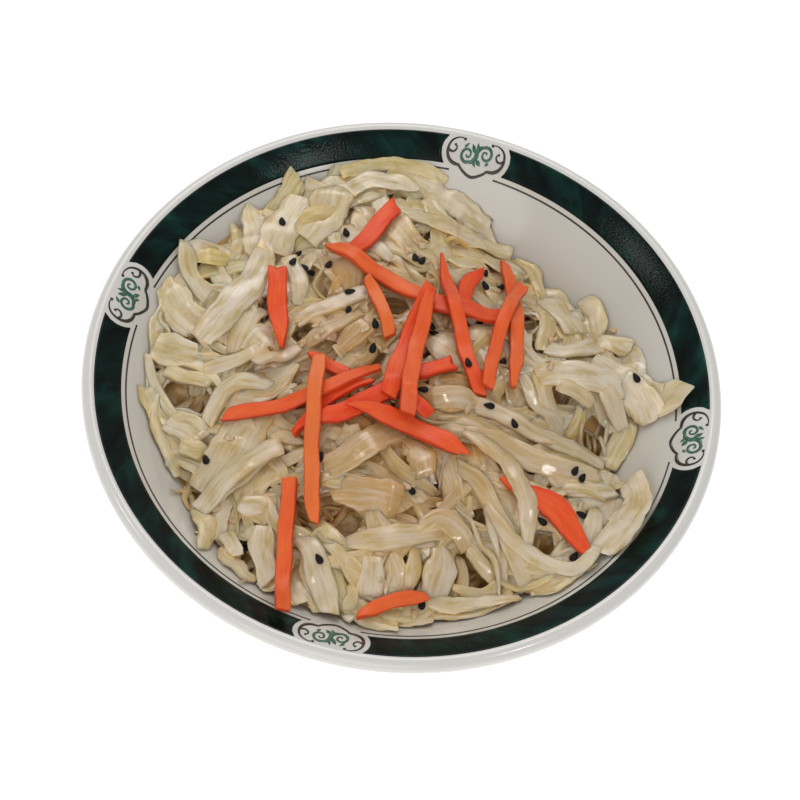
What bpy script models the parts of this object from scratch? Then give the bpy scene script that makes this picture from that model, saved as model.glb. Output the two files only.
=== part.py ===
"""Bowl of coleslaw: a rimmed glazed bowl, a heap of shredded cabbage with sesame, and carrot strips on top.

The frame is metres with +Z up. The bowl stands on the XY plane with its axis on Z, and its four rim
ornaments lie on the X and Y axes. The photograph was taken from the -Y side, a little towards +X.
"""

import copy
import math
import random

import bmesh
import bpy
import numpy as np
from mathutils import Vector
from mathutils.bvhtree import BVHTree

MM = 0.001

# Bowl, as radii and heights. A station of the inner face is a radius, a height and a slope.
BOWL_RADIUS = 100 * MM
LIP_BEAD = 2.6 * MM
LIP_SLOPE = 0.56
LIP_CENTRE = (BOWL_RADIUS - LIP_BEAD, 49.4 * MM)
FLOOR = (0, 5.8 * MM, 0)
FLOOR_EDGE = (36 * MM, 6.6 * MM, 0.10)
MID_WALL = (75 * MM, 34 * MM, 1.15)
WALL = 4 * MM
WALL_STEP = 7.5 * MM
FOOT_OUTER = 48 * MM
FOOT_INNER = 43 * MM
FOOT_TOP = 6 * MM
FOOT_ROUND = 0.6 * MM
RECESS = 2.6 * MM
LIP_STEPS = 6
TURN_STEPS = 64

# Heap. Its edge on the bowl's wall is a radius at each heading round the bowl, in degrees.
HEAP_EDGE = {
    0: 68, 20: 78, 38: 72, 60: 69, 74: 70, 88: 75, 105: 83, 125: 85, 142: 82, 162: 83,
    180: 80, 205: 77, 225: 76, 247: 80, 263: 82, 280: 82, 293: 78, 308: 76, 326: 83, 345: 79,
}
HEAP_TOP = 51 * MM
HEAP_SHOULDER = 1.05
HEAP_BUMP = 1.1 * MM
HEAP_SEGMENTS = 40
HEAP_RINGS = 16
HEAP_WAVES = ((0.19, 0.17), (0.11, -0.23))
GAP = 0.4 * MM
BOWL_GAP = 0.7 * MM

# The ground is a square grid of heights that each piece is laid on.
CELL = 1 * MM
GRID = 208
REACH = GRID * CELL / 2
FAR_BELOW = -1.0
FAR_ABOVE = 1.0
BLUR_STEPS = 6
STEEPEST = 1.2
LAY_STEPS = 500
LAY_SAG = 0.02 * MM
SPACING = 0.7 * MM
END_TAPER = 0.45

# Carrot strips in the order they were dropped. Each row is the middle of the strip's chord in x and y,
# its heading in degrees, then its length, width, bow to the left and thickness, all in millimetres.
CARROTS = {
    "hook": (13, 41, -95, 19, 4.5, -2.7, 1.4),
    "bar": (13, 31, 9, 25, 7.0, -2.3, 1.6),
    "far_tip": (-23, 52, -108, 25, 6.0, 0.2, 1.7),
    "far_left": (-17, 34, -18, 41, 5.2, -0.7, 1.7),
    "left_stub": (-44, 13, -71, 31, 6.0, -0.7, 1.9),
    "notch": (-23, -4, -18, 13, 4.2, -0.4, 1.6),
    "sliver": (-18, -18, 50, 29, 3.0, 2.3, 1.6),
    "dark": (-11, -15, 43, 25, 6.0, -1.8, 1.6),
    "low_right": (6, -21, -7, 38, 5.8, 2.6, 1.7),
    "low_left": (-29, -14, 32, 49, 4.6, -4.1, 1.4),
    "down": (-20, -30, -76, 55, 4.5, -1.4, 1.6),
    "fork": (9, 3, 42, 13, 5.4, -0.2, 1.6),
    "chip": (7, -13, -13, 9, 4.4, 0.0, 1.6),
    "slope": (-14, 20, -56, 22, 4.2, 1.2, 1.4),
    "spear": (-1, 9, -94, 42, 5.6, -0.8, 1.7),
    "twin": (3, 4, -85, 43, 5.0, -1.1, 1.7),
    "near_arm": (12, 25, -64, 56, 4.2, -1.5, 1.4),
    "right_arm": (27, 33, -76, 56, 4.2, 2.0, 1.4),
    "right_leg": (27, 27, -92, 50, 4.1, -1.8, 1.4),
    "over_band": (-19, -67, -77, 45, 4.4, -0.4, 1.7),
    "near_crumb": (16, -75, 37, 22, 4.2, 1.1, 1.4),
    "slice": (53, -36, -26, 33, 8.6, 5.4, 1.6),
}
CARROT_STATION = 6 * MM

# Shreds that stand out, in the same terms, laid before the rest.
SHREDS = (
    # left of the carrots
    (-62, 16, 80, 38, 10, 3, 3.0),
    (-53, 0, -70, 14, 7, 0, 3.4),
    (-45, -5, -85, 12, 8, 0, 3.6),
    (-53, -12, 30, 13, 6, 0, 3.0),
    (-50, -33, 85, 35, 11, 1, 3.2),
    (-60, -34, -10, 12, 5, 0, 2.4),
    (-73, -19, -70, 44, 4, -4, 2.2),
    (-70, -8, -25, 16, 8, 0, 2.8),
    (-61, -20, 15, 15, 4, 2, 2.2),
    (-29, 13, 40, 26, 7, 2, 3.0),
    # near the left wall
    (-40, -48, 45, 31, 8, 3, 3.0),
    (-34, -54, -10, 10, 7, 0, 2.4),
    (-32, -44, 50, 17, 9, -2, 3.0),
    (-29, -60, -10, 12, 6, 0, 2.8),
    (-45, -62, -55, 19, 4, -1, 2.4),
    (-25, -67, -60, 20, 6, -1, 2.8),
    (-7, -65, -30, 27, 5, 2, 2.6),
    (-8, -70, -60, 22, 8, -1, 2.8),
    (7, -69, -65, 14, 6, 0, 3.0),
    # near the middle
    (14, -56, 20, 37, 5, 3, 3.0),
    (-5, -34, 35, 26, 10, -4, 2.4),
    (-9, -32, 5, 8, 7, 0, 4.0),
    (-29, -33, -5, 12, 4, 0, 2.4),
    (25, -60, -85, 17, 8, 0, 3.4),
    (21, -47, 10, 21, 6, -1, 2.6),
    (17, -63, -65, 15, 6, 0, 3.0),
    (29, -68, 10, 15, 5, 1, 2.4),
    # right
    (39, -5, 10, 56, 9, -2, 3.0),
    (53, -18, 5, 27, 9, -3, 2.6),
    (49, -38, -20, 43, 6, -10, 2.4),
    (46, -53, -35, 15, 5, 0, 2.0),
    (57, 17, 15, 27, 7, 0, 3.4),
    (49, 6, 10, 19, 7, 0, 3.0),
    (63, 30, -15, 18, 8, 4, 2.2),
    (41, 34, -65, 21, 5, 0, 2.6),
    (51, 34, 70, 22, 7, 0, 2.2),
    # far
    (-3, 60, 5, 25, 7, 5, 2.2),
    (30, 54, -60, 26, 7, 5, 2.4),
    (43, 55, -30, 22, 7, 0, 2.4),
    (-27, 76, 20, 45, 8, 4, 2.0),
    (-46, 50, -85, 22, 5, 0, 2.4),
    (-20, 70, -15, 30, 9, 0, 2.2),
)
SHRED_SPOTS = 115
SHRED_TRIES = 14
SHRED_STATION = 6.5 * MM
SHRED_SINK = 1.5 * MM
SHRED_RISE = 5.5 * MM
SHRED_LENGTH = (20 * MM, 42 * MM)
SHRED_WIDTH = (4 * MM, 8 * MM)
SHRED_THICKNESS = (2.2 * MM, 3.6 * MM)
SHRED_BOW = 0.14
SHRED_SPREAD = 0.9
EDGE_MARGIN = 4 * MM
UNDER_CARROTS = 2.0 * MM

# Sesame seeds that show, as x and y in millimetres.
BLACK_SEEDS = (
    (-53, 48), (-31, 45), (-44, 34), (-45, 30), (-41, 28), (-38, 26), (-33, 30), (-23, 21), (-22, 14),
    (-13, 10), (-11, 1), (-7, 41), (-4, 41), (15, 49), (16, 42), (21, 45), (5, 16), (6, 13), (19, 23),
    (19, 6), (29, 10), (8, -9), (68, 26), (28, -7), (37, -11), (59, -17), (61, -19), (64, -30),
    (65, -44), (53, -38), (12, -41), (20, -37), (24, -70), (-52, -41), (-17, -38), (-32, -67), (-8, -68),
)
PALE_SEEDS = (
    (-50, 12), (-36, 35), (-32, 25), (-27, 21), (-17, 15), (-15, 8), (-32, -2), (-28, 1), (-9, 54),
    (-8, 50), (-10, 44), (8, 19), (22, -11), (49, -11), (42, 27), (44, 15), (60, 43), (-42, -14),
    (-46, -34), (-44, -56), (-38, -60), (8, -30), (11, -41), (8, -62), (32, -27),
)
SEED_SIZE = (1.65 * MM, 1.05 * MM, 0.75 * MM)
SEED_TAPER = 0.35
SEED_MARGIN = 3 * MM
SEED_RAISE = 0.25 * MM

WELD = 0.001 * MM
DRAW = 5

COLLECTION = "bowl_of_coleslaw"
PIECES = "pieces"


def clear_scene():
    """Removes the objects and materials that are in the file."""
    for ob in list(bpy.data.objects):
        bpy.data.objects.remove(ob, do_unlink=True)
    for material in list(bpy.data.materials):
        bpy.data.materials.remove(material)


def new_collection(name):
    collection = bpy.data.collections.new(name)
    bpy.context.scene.collection.children.link(collection)
    return collection


def new_material(name, colour, roughness, subsurface=0.0):
    material = bpy.data.materials.new(name)
    material.use_nodes = True
    material.diffuse_color = (*colour, 1.0)
    shader = material.node_tree.nodes["Principled BSDF"]
    shader.inputs["Base Color"].default_value = (*colour, 1.0)
    shader.inputs["Roughness"].default_value = roughness
    shader.inputs["Metallic"].default_value = 0.0
    shader.inputs["Subsurface Weight"].default_value = subsurface
    return material


def new_object(name, bm, collection, material):
    """Makes an object from bm, and frees bm."""
    mesh = bpy.data.meshes.new(name)
    bm.to_mesh(mesh)
    bm.free()
    mesh.materials.append(material)
    ob = bpy.data.objects.new(name, mesh)
    collection.objects.link(ob)
    return ob


# ---------------------------------------------------------------------------------------------- bowl


def lip_point(degrees):
    """A point of the rolled lip, as radius and height."""
    angle = math.radians(degrees)
    return (
        LIP_CENTRE[0] + LIP_BEAD * math.cos(angle),
        LIP_CENTRE[1] + LIP_BEAD * math.sin(angle),
    )


LIP_ANGLE = 90 + math.degrees(math.atan(LIP_SLOPE))
RIM = (*lip_point(LIP_ANGLE), LIP_SLOPE)
STATIONS = (FLOOR, FLOOR_EDGE, MID_WALL, RIM)


def wall_point(radius):
    """Height and slope of the bowl's inner face, on smooth curves from station to station."""
    for (r0, z0, m0), (r1, z1, m1) in zip(STATIONS, STATIONS[1:]):
        if radius <= r1:
            break
    span = r1 - r0
    t = min((radius - r0) / span, 1.0)
    height = (
        (2 * t**3 - 3 * t**2 + 1) * z0
        + (t**3 - 2 * t**2 + t) * span * m0
        + (3 * t**2 - 2 * t**3) * z1
        + (t**3 - t**2) * span * m1
    )
    slope = (
        (6 * t**2 - 6 * t) * (z0 - z1) / span
        + (3 * t**2 - 4 * t + 1) * m0
        + (3 * t**2 - 2 * t) * m1
    )
    return height, slope


def bowl_profile():
    """The bowl's section from the middle of its floor, over the lip and down to the foot."""
    radii = [0, FLOOR_EDGE[0] / 2, FLOOR_EDGE[0]]
    steps = round((RIM[0] - FLOOR_EDGE[0]) / WALL_STEP)
    radii += [FLOOR_EDGE[0] + (RIM[0] - FLOOR_EDGE[0]) * i / steps for i in range(1, steps)]
    points = [(r, wall_point(r)[0]) for r in radii]
    points += [lip_point(LIP_ANGLE - 180 * i / LIP_STEPS) for i in range(LIP_STEPS + 1)]
    for r in reversed([r for r in radii if FOOT_OUTER < r]):
        height, slope = wall_point(r)
        normal = math.hypot(slope, 1)
        points.append((r + WALL * slope / normal, height - WALL / normal))
    points += [
        (FOOT_OUTER, FOOT_TOP),
        (FOOT_OUTER, FOOT_ROUND),
        (FOOT_OUTER - FOOT_ROUND, 0),
        (FOOT_INNER, 0),
        (FOOT_INNER - FOOT_ROUND, RECESS),
        (0, RECESS),
    ]
    return points


def make_bowl(collection, material):
    bm = bmesh.new()
    verts = [bm.verts.new((r, 0, z)) for r, z in bowl_profile()]
    for a, b in zip(verts, verts[1:]):
        bm.edges.new((a, b))
    bowl = new_object("bowl", bm, collection, material)
    screw = bowl.modifiers.new("turn", "SCREW")
    screw.axis = "Z"
    screw.angle = math.tau
    screw.steps = TURN_STEPS
    screw.render_steps = TURN_STEPS
    screw.use_merge_vertices = True
    screw.merge_threshold = 0.00005
    screw.use_smooth_shade = True
    return bowl


# -------------------------------------------------------------------------------------------- ground


class Ground:
    """Heights on a square grid, which rise as pieces are laid."""

    def __init__(self):
        at = (np.arange(GRID) + 0.5) * CELL - REACH
        self.x, self.y = np.meshgrid(at, at, indexing="ij")
        radius = np.hypot(self.x, self.y)
        steps = np.linspace(0, RIM[0], 200)
        heights = [wall_point(r)[0] for r in steps]
        self.height = np.interp(radius, steps, heights) + BOWL_GAP
        beyond = radius > BOWL_RADIUS + LIP_BEAD
        self.height[beyond] = FAR_BELOW
        self.bowl = self.height.copy()

    def cells(self, x, y):
        i = np.clip(((np.asarray(x) + REACH) / CELL).astype(int), 0, GRID - 1)
        j = np.clip(((np.asarray(y) + REACH) / CELL).astype(int), 0, GRID - 1)
        return i, j

    def at(self, x, y):
        return self.height[self.cells(x, y)]

    def add_mesh(self, bm):
        """Raises the ground to the top of a mesh."""
        tree = BVHTree.FromBMesh(bm)
        down = Vector((0, 0, -1))
        for i in range(GRID):
            for j in range(GRID):
                hit = tree.ray_cast(Vector((self.x[i, j], self.y[i, j], 1.0)), down)[0]
                if hit:
                    self.height[i, j] = max(self.height[i, j], hit.z)

    def raise_to(self, x, y, z):
        np.maximum.at(self.height, self.cells(x, y), z)

    def lower_to(self, x, y, z):
        np.minimum.at(self.height, self.cells(x, y), z)

    def find_slopes(self):
        """Slopes of the ground as it is now, blurred over a strip's width."""
        soft = self.height.copy()
        for _ in range(BLUR_STEPS):
            for axis in (0, 1):
                soft = (np.roll(soft, 1, axis) + 2 * soft + np.roll(soft, -1, axis)) / 4
        self.slopes = np.gradient(soft, CELL)

    def slope_at(self, x, y):
        cells = self.cells(x, y)
        return self.slopes[0][cells], self.slopes[1][cells]

    def slope_along(self, points, directions):
        slope_x, slope_y = self.slope_at(points[:, 0], points[:, 1])
        slope = slope_x * directions[:, 0] + slope_y * directions[:, 1]
        return np.clip(slope, -STEEPEST, STEEPEST)


# -------------------------------------------------------------------------------------------- strips


class Strip:
    """A bar laid on the ground along a bowed path."""

    def __init__(self, x, y, heading, length, width, bow, thickness):
        self.middle = np.array((x, y))
        angle = math.radians(heading)
        self.along = np.array((math.cos(angle), math.sin(angle)))
        self.left = np.array((-self.along[1], self.along[0]))
        self.length = length
        self.width = width
        self.bow = bow
        self.thickness = thickness

    def spine(self, t):
        """Points in plan, and the directions to the left, at places t from 0 to 1."""
        t = np.asarray(t, float)
        ahead = (t - 0.5) * self.length
        aside = self.bow * 4 * t * (1 - t)
        points = self.middle + np.outer(ahead, self.along) + np.outer(aside, self.left)
        lean = self.bow * 4 * (1 - 2 * t) / self.length
        left = self.left - np.outer(lean, self.along)
        return points, left / np.linalg.norm(left, axis=1)[:, None]

    def half_width(self, t):
        """Half the width, which narrows towards both ends."""
        return self.width / 2 * (1 - END_TAPER * np.abs(2 * np.asarray(t) - 1) ** 3)

    def footprint(self, margin=0.0):
        """Places t, and the plan points that the strip covers there."""
        t = np.linspace(0, 1, max(4, math.ceil(self.length / SPACING)))
        points, left = self.spine(t)
        ends = t + (2 * t - 1) * margin / self.length
        points = points + np.outer((ends - t) * self.length, self.along)
        across = np.linspace(-1, 1, max(3, math.ceil((self.width + 2 * margin) / SPACING)))
        reach = (self.half_width(t) + margin)[:, None] * across[None, :]
        x = points[:, :1] + left[:, :1] * reach
        y = points[:, 1:] + left[:, 1:] * reach
        return t, x, y, reach

    def lay(self, ground, gap, segments):
        """Settles the strip's underside on the ground, as a string pulled over it would lie."""
        self.stations = np.linspace(0, 1, segments + 1)
        self.tilt = ground.slope_along(*self.spine(self.stations))
        t, x, y, reach = self.footprint(margin=CELL)
        lean = np.interp(t, self.stations, self.tilt)[:, None] * reach
        height = np.maximum(ground.at(x, y) + gap, ground.bowl[ground.cells(x, y)])
        rest = (height - lean).max(axis=1)
        z = rest.copy()
        for _ in range(LAY_STEPS):
            z[1:-1] = np.maximum(rest[1:-1], (z[:-2] + z[2:]) / 2 - LAY_SAG)
            z[0] = max(rest[0], min(z[1], 2 * z[1] - z[2]) - LAY_SAG)
            z[-1] = max(rest[-1], min(z[-2], 2 * z[-2] - z[-3]) - LAY_SAG)
        self.bottom = np.interp(self.stations, t, z)
        near = np.abs(t[:, None] - self.stations) * segments < 1
        for _ in range(2):
            short = np.maximum(rest - np.interp(t, self.stations, self.bottom), 0)
            self.bottom += (short[:, None] * near).max(axis=0)

    def surface(self, raised, margin=0.0):
        """Points of the strip's face that lies this much above its underside."""
        t, x, y, reach = self.footprint(margin)
        middle = np.interp(t, self.stations, self.bottom) + raised
        lean = np.interp(t, self.stations, self.tilt)[:, None] * reach
        return x, y, middle[:, None] + lean

    def mark(self, ground):
        """Raises the ground to the strip's top."""
        ground.raise_to(*self.surface(self.thickness))

    def solid(self):
        """A cube cut across into segments, with its corners moved onto the strip."""
        bm = bmesh.new()
        bmesh.ops.create_cube(bm, size=1.0)
        long_edges = [e for e in bm.edges if abs(e.verts[0].co.x - e.verts[1].co.x) > 0.5]
        bmesh.ops.subdivide_edges(bm, edges=long_edges, cuts=len(self.stations) - 2)
        for vert in bm.verts:
            t = vert.co.x + 0.5
            points, left = self.spine([t])
            reach = self.half_width(t) * 2 * vert.co.y
            height = np.interp(t, self.stations, self.bottom)
            height += np.interp(t, self.stations, self.tilt) * reach
            height += self.thickness * (vert.co.z + 0.5)
            vert.co = (*(points[0] + left[0] * reach), height)
        return bm


# -------------------------------------------------------------------------------------------- carrots


def lay_carrots(ground, collection, material):
    """Lays the carrots in order, a shred's depth above the bare heap. Returns their undersides."""
    on_top = copy.deepcopy(ground)
    on_top.height += UNDER_CARROTS
    ceiling = copy.deepcopy(ground)
    ceiling.height[:] = FAR_ABOVE
    for name, (x, y, heading, length, width, bow, thickness) in CARROTS.items():
        strip = Strip(
            x * MM, y * MM, heading, length * MM, width * MM, bow * MM, thickness * MM
        )
        strip.lay(on_top, GAP, max(2, round(strip.length / CARROT_STATION)))
        strip.mark(on_top)
        ceiling.lower_to(*strip.surface(0, margin=CELL))
        new_object(f"carrot_{name}", strip.solid(), collection, material)
    return ceiling


# ----------------------------------------------------------------------------------------------- heap


def heap_edge(angle):
    """Radius of the heap's edge at an angle round the bowl."""
    headings = [*HEAP_EDGE, 360]
    radii = [*HEAP_EDGE.values(), HEAP_EDGE[0]]
    return np.interp(math.degrees(angle) % 360, headings, radii) * MM


def heap_height(x, y):
    """Height of the bare heap: a dome down to its edge on the wall, with soft bumps."""
    edge = heap_edge(math.atan2(y, x))
    low = wall_point(edge)[0] + BOWL_GAP
    share = min(math.hypot(x, y) / edge, 1.0)
    dome = low + (HEAP_TOP - low) * (1 - share**2) ** HEAP_SHOULDER
    (p, q), (r, s) = HEAP_WAVES
    u, v = x / MM, y / MM
    bump = math.sin(p * u + 0.9) * math.cos(q * v) + math.sin(r * u + s * v)
    return dome + HEAP_BUMP * bump * (1 - share**4)


def heap_core():
    """A sphere whose upper half becomes the dome and whose lower half lines the bowl."""
    bm = bmesh.new()
    bmesh.ops.create_uvsphere(
        bm, u_segments=HEAP_SEGMENTS, v_segments=HEAP_RINGS, radius=1.0
    )
    for vert in bm.verts:
        polar = math.acos(max(-1.0, min(1.0, vert.co.z)))
        upper = polar <= math.pi / 2 + 0.001
        share = polar / (math.pi / 2) if upper else 2 - polar / (math.pi / 2)
        angle = math.atan2(vert.co.y, vert.co.x)
        radius = heap_edge(angle) * share
        x, y = radius * math.cos(angle), radius * math.sin(angle)
        z = heap_height(x, y) if upper else wall_point(radius)[0] + BOWL_GAP
        vert.co = (x, y, z)
    return bm


def shred_rows(rng):
    """For each shred, the rows to try: the ones that stand out, then random ones on an even spiral."""
    for x, y, heading, length, width, bow, thickness in SHREDS:
        yield [(x * MM, y * MM, heading, length * MM, width * MM, bow * MM, thickness * MM)]
    for i in range(SHRED_SPOTS):
        angle = i * math.pi * (3 - math.sqrt(5))
        radius = heap_edge(angle) * SHRED_SPREAD * math.sqrt((i + 0.5) / SHRED_SPOTS)
        rows = []
        for _ in range(SHRED_TRIES):
            length = rng.uniform(*SHRED_LENGTH)
            rows.append(
                (
                    radius * math.cos(angle),
                    radius * math.sin(angle),
                    rng.uniform(0, 180),
                    length,
                    rng.uniform(*SHRED_WIDTH),
                    length * rng.gauss(0, SHRED_BOW),
                    rng.uniform(*SHRED_THICKNESS),
                )
            )
        yield rows


def fits(strip, ceiling):
    """Whether a shred stays near the heap, inside its edge and under the carrots."""
    x, y, top = strip.surface(strip.thickness, margin=CELL)
    if (top > ceiling.at(x, y) - GAP).any():
        return False
    points = strip.spine(strip.stations)[0]
    for (u, v), bottom in zip(points, strip.bottom):
        if math.hypot(u, v) > heap_edge(math.atan2(v, u)) + EDGE_MARGIN:
            return False
        if bottom + strip.thickness > heap_height(u, v) + SHRED_RISE:
            return False
    return True


def lay_shreds(ground, ceiling, collection, material, rng):
    """Lays shreds that sink a little into what is under them."""
    for rows in shred_rows(rng):
        for row in rows:
            strip = Strip(*row)
            strip.lay(ground, -SHRED_SINK, max(3, round(strip.length / SHRED_STATION)))
            if fits(strip, ceiling):
                strip.mark(ground)
                new_object("shred", strip.solid(), collection, material)
                break


def lay_seeds(ground, ceiling, collection, material, rng):
    """Puts the sesame seeds on the shreds, each turned its own way."""
    around = np.array((-2, -1, 0, 1, 2)) * MM
    for x, y in (*BLACK_SEEDS, *PALE_SEEDS):
        x, y = x * MM, y * MM
        if math.hypot(x, y) > heap_edge(math.atan2(y, x)) - SEED_MARGIN:
            continue
        height = ground.at(x, y) + SEED_RAISE
        above = ceiling.at(x + around[:, None], y + around[None, :]).min()
        if height + SEED_SIZE[2] + GAP > above:
            continue
        bm = bmesh.new()
        bmesh.ops.create_icosphere(bm, subdivisions=1, radius=1.0)
        turn = rng.uniform(0, math.tau)
        cos, sin = math.cos(turn), math.sin(turn)
        lean_x, lean_y = ground.slope_at(x, y)
        for vert in bm.verts:
            u, v, w = (size * c for size, c in zip(SEED_SIZE, vert.co))
            v *= 1 - SEED_TAPER * vert.co.x
            ahead, aside = u * cos - v * sin, u * sin + v * cos
            lift = height + w + lean_x * ahead + lean_y * aside
            vert.co = (x + ahead, y + aside, lift)
        new_object("seed", bm, collection, material)


def keep_outer_body(mesh):
    """Drops loose scraps and fills sealed hollows: keeps the largest body joined along its edges."""
    bm = bmesh.new()
    bm.from_mesh(mesh)
    bmesh.ops.remove_doubles(bm, verts=bm.verts, dist=WELD)
    left = set(bm.faces)
    bodies = []
    while left:
        body = []
        front = [left.pop()]
        while front:
            face = front.pop()
            body.append(face)
            for edge in face.edges:
                for other in edge.link_faces:
                    if other in left:
                        left.remove(other)
                        front.append(other)
        bodies.append(body)
    bodies.sort(key=len)
    for body in bodies[:-1]:
        bmesh.ops.delete(bm, geom=body, context="FACES")
    bm.to_mesh(mesh)
    bm.free()


def make_heap(ground, ceiling, bare, collection, material):
    """Fuses the core, the shreds and the seeds into one solid."""
    rng = random.Random(DRAW)
    pieces = new_collection(PIECES)
    lay_shreds(ground, ceiling, pieces, material, rng)
    lay_seeds(ground, ceiling, pieces, material, rng)
    core = new_object("cabbage", bare, collection, material)
    union = core.modifiers.new("fuse", "BOOLEAN")
    union.operation = "UNION"
    union.operand_type = "COLLECTION"
    union.collection = pieces
    union.solver = "MANIFOLD"
    fused = bpy.data.meshes.new_from_object(
        core.evaluated_get(bpy.context.evaluated_depsgraph_get())
    )
    core.modifiers.remove(union)
    core.data = fused
    keep_outer_body(fused)
    for ob in list(pieces.objects):
        bpy.data.objects.remove(ob, do_unlink=True)
    bpy.data.collections.remove(pieces)
    return core


def main():
    clear_scene()
    collection = new_collection(COLLECTION)
    glaze = new_material("glaze", (0.60, 0.57, 0.52), 0.18)
    cabbage = new_material("cabbage", (0.66, 0.60, 0.38), 0.35, subsurface=0.2)
    carrot = new_material("carrot", (0.78, 0.12, 0.03), 0.35, subsurface=0.1)
    make_bowl(collection, glaze)
    bare = heap_core()
    ground = Ground()
    ground.add_mesh(bare)
    ground.find_slopes()
    ceiling = lay_carrots(ground, collection, carrot)
    make_heap(ground, ceiling, bare, collection, cabbage)


main()
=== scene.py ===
"""Looks of the bowl of coleslaw: the glazed bowl with its rim ornament, the shredded cabbage, the carrot
strips and the sesame seeds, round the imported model.

Lengths are in metres, with +Z up and the bowl's axis on Z. Angles are degrees round that axis from +X.
"""

import math
import random

import bmesh
import bpy
import numpy as np
from mathutils import Matrix, Vector
from mathutils.bvhtree import BVHTree


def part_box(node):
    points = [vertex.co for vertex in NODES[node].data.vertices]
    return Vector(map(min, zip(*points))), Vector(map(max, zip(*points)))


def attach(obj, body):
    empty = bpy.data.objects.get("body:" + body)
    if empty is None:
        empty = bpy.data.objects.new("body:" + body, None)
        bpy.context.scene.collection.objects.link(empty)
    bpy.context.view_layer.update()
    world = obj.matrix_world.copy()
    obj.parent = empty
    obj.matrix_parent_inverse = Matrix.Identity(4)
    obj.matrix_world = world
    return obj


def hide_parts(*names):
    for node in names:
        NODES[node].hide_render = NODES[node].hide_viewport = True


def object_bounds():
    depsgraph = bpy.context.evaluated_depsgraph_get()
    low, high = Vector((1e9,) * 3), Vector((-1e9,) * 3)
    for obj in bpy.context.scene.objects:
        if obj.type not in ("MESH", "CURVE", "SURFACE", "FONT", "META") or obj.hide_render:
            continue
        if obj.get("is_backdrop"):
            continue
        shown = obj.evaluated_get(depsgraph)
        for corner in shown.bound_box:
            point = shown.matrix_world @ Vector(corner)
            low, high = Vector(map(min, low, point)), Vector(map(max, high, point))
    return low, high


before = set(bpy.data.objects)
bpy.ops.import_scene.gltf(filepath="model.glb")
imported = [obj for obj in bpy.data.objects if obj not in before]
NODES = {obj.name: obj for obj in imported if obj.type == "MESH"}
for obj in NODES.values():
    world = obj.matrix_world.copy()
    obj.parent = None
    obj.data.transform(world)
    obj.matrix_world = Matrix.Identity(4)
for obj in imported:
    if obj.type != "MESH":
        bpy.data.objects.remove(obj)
CAD_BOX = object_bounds()

MM = 0.001
ROOT = "root"

# Camera, as it stood for the photograph, which is square: it looks at the middle of the rim.
CAMERA_TARGET = (0, 0, 49.4 * MM)
CAMERA_DISTANCE = 686.9 * MM
CAMERA_AZIMUTH = 8.3
CAMERA_ELEVATION = 58.3
CAMERA_ROLL = 7.18
CAMERA_LENS = 98.87
CAMERA_SENSOR = 36.0
CAMERA_SHIFT = (-0.00475, -0.028)
CAMERA_CLIP = (0.05, 20)
PHOTO_PIXELS = 800

# Lights round the bowl: place, diameter in metres, power in watts and colour.
WARM = (1.0, 0.97, 0.93)
NEUTRAL = (1.0, 1.0, 1.0)
LIGHTS = {
    "key": ((-0.27, 0.97, 0.98), 0.9, 5.2, WARM),
    "near": ((-0.08, -1.20, 0.85), 1.3, 5.8, WARM),
    "ceiling_left": ((-0.76, -0.12, 0.92), 0.16, 0.6, NEUTRAL),
    "ceiling_right": ((0.56, -0.34, 1.0), 0.16, 0.9, NEUTRAL),
}
SKY_COLOUR = (1.0, 0.98, 0.95, 1.0)
SKY_STRENGTH = 0.48
FLOOR_REACH = 3.0
FLOOR_DROP = 0.05 * MM

# Bowl. A station of its inner face is a radius, a height and a slope.
BOWL_RADIUS = 100 * MM
LIP_BEAD = 2.6 * MM
LIP_SLOPE = 0.56
LIP_CENTRE = (BOWL_RADIUS - LIP_BEAD, 49.4 * MM)
FLOOR = (0, 5.8 * MM, 0)
FLOOR_EDGE = (36 * MM, 6.6 * MM, 0.10)
MID_WALL = (75 * MM, 34 * MM, 1.15)
WALL = 4 * MM
FOOT_OUTER = 48 * MM
FOOT_INNER = 43 * MM
FOOT_TOP = 6 * MM
FOOT_ROUND = 0.6 * MM
RECESS = 2.6 * MM
STANDING = 0.1 * MM
TURN_STEPS = 256
INNER_STEPS = 60
LIP_STEPS = 24
FOOT_TURN_STEPS = 6

# Rim ornament: a band, a thin line inside it, and four panels that interrupt both.
BAND = (87.9 * MM, 96.0 * MM)
LINE_RADIUS = 86.5 * MM
LINE_HALF_WIDTH = 0.24 * MM
LINE_STOP = 7.6 * MM
PANEL_ANGLES = (2.75, 89.1, 176.9, 271.1)
PANEL_HALF_WIDTHS = ((87.9, 9.9), (89.2, 10.8), (90.6, 11.4), (92.2, 11.7), (94.0, 11.4), (96.0, 10.2))
INK_LIFT = 0.07 * MM
INK_SINK = 0.05 * MM
BAND_ROWS = 13
ARC_STEPS = 120
DOT_STEPS = 16
DOT_RINGS = (0.02, 0.55, 1.0)

# Half of the panel's outline, as distance to the side, radius and half-width, in millimetres. The
# first points arch over the middle, the next ones run round the side lobe and end in a dot.
ARCH = ((0, 85.6, 0.42), (1.4, 85.95, 0.40), (3.0, 86.7, 0.38), (4.1, 87.45, 0.36), (4.75, 88.15, 0.40))
LOBE = (
    (4.75, 88.15, 0.40), (5.9, 88.2, 0.46), (7.2, 88.5, 0.50), (8.4, 89.25, 0.50), (9.25, 90.4, 0.46),
    (9.65, 91.8, 0.42), (9.5, 93.3, 0.38), (8.85, 94.55, 0.32), (7.7, 95.4, 0.26), (6.3, 95.8, 0.20),
    (5.2, 95.75, 0.17),
)
LOBE_DOT = (4.75, 95.5, 0.48)
HOOK = (
    (9.5, 92.0, 0.36), (8.7, 91.55, 0.36), (7.8, 91.45, 0.34), (7.05, 91.95, 0.30), (6.8, 92.7, 0.26),
    (7.05, 93.3, 0.22),
)
HOOK_DOT = (7.45, 93.5, 0.42)

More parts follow.
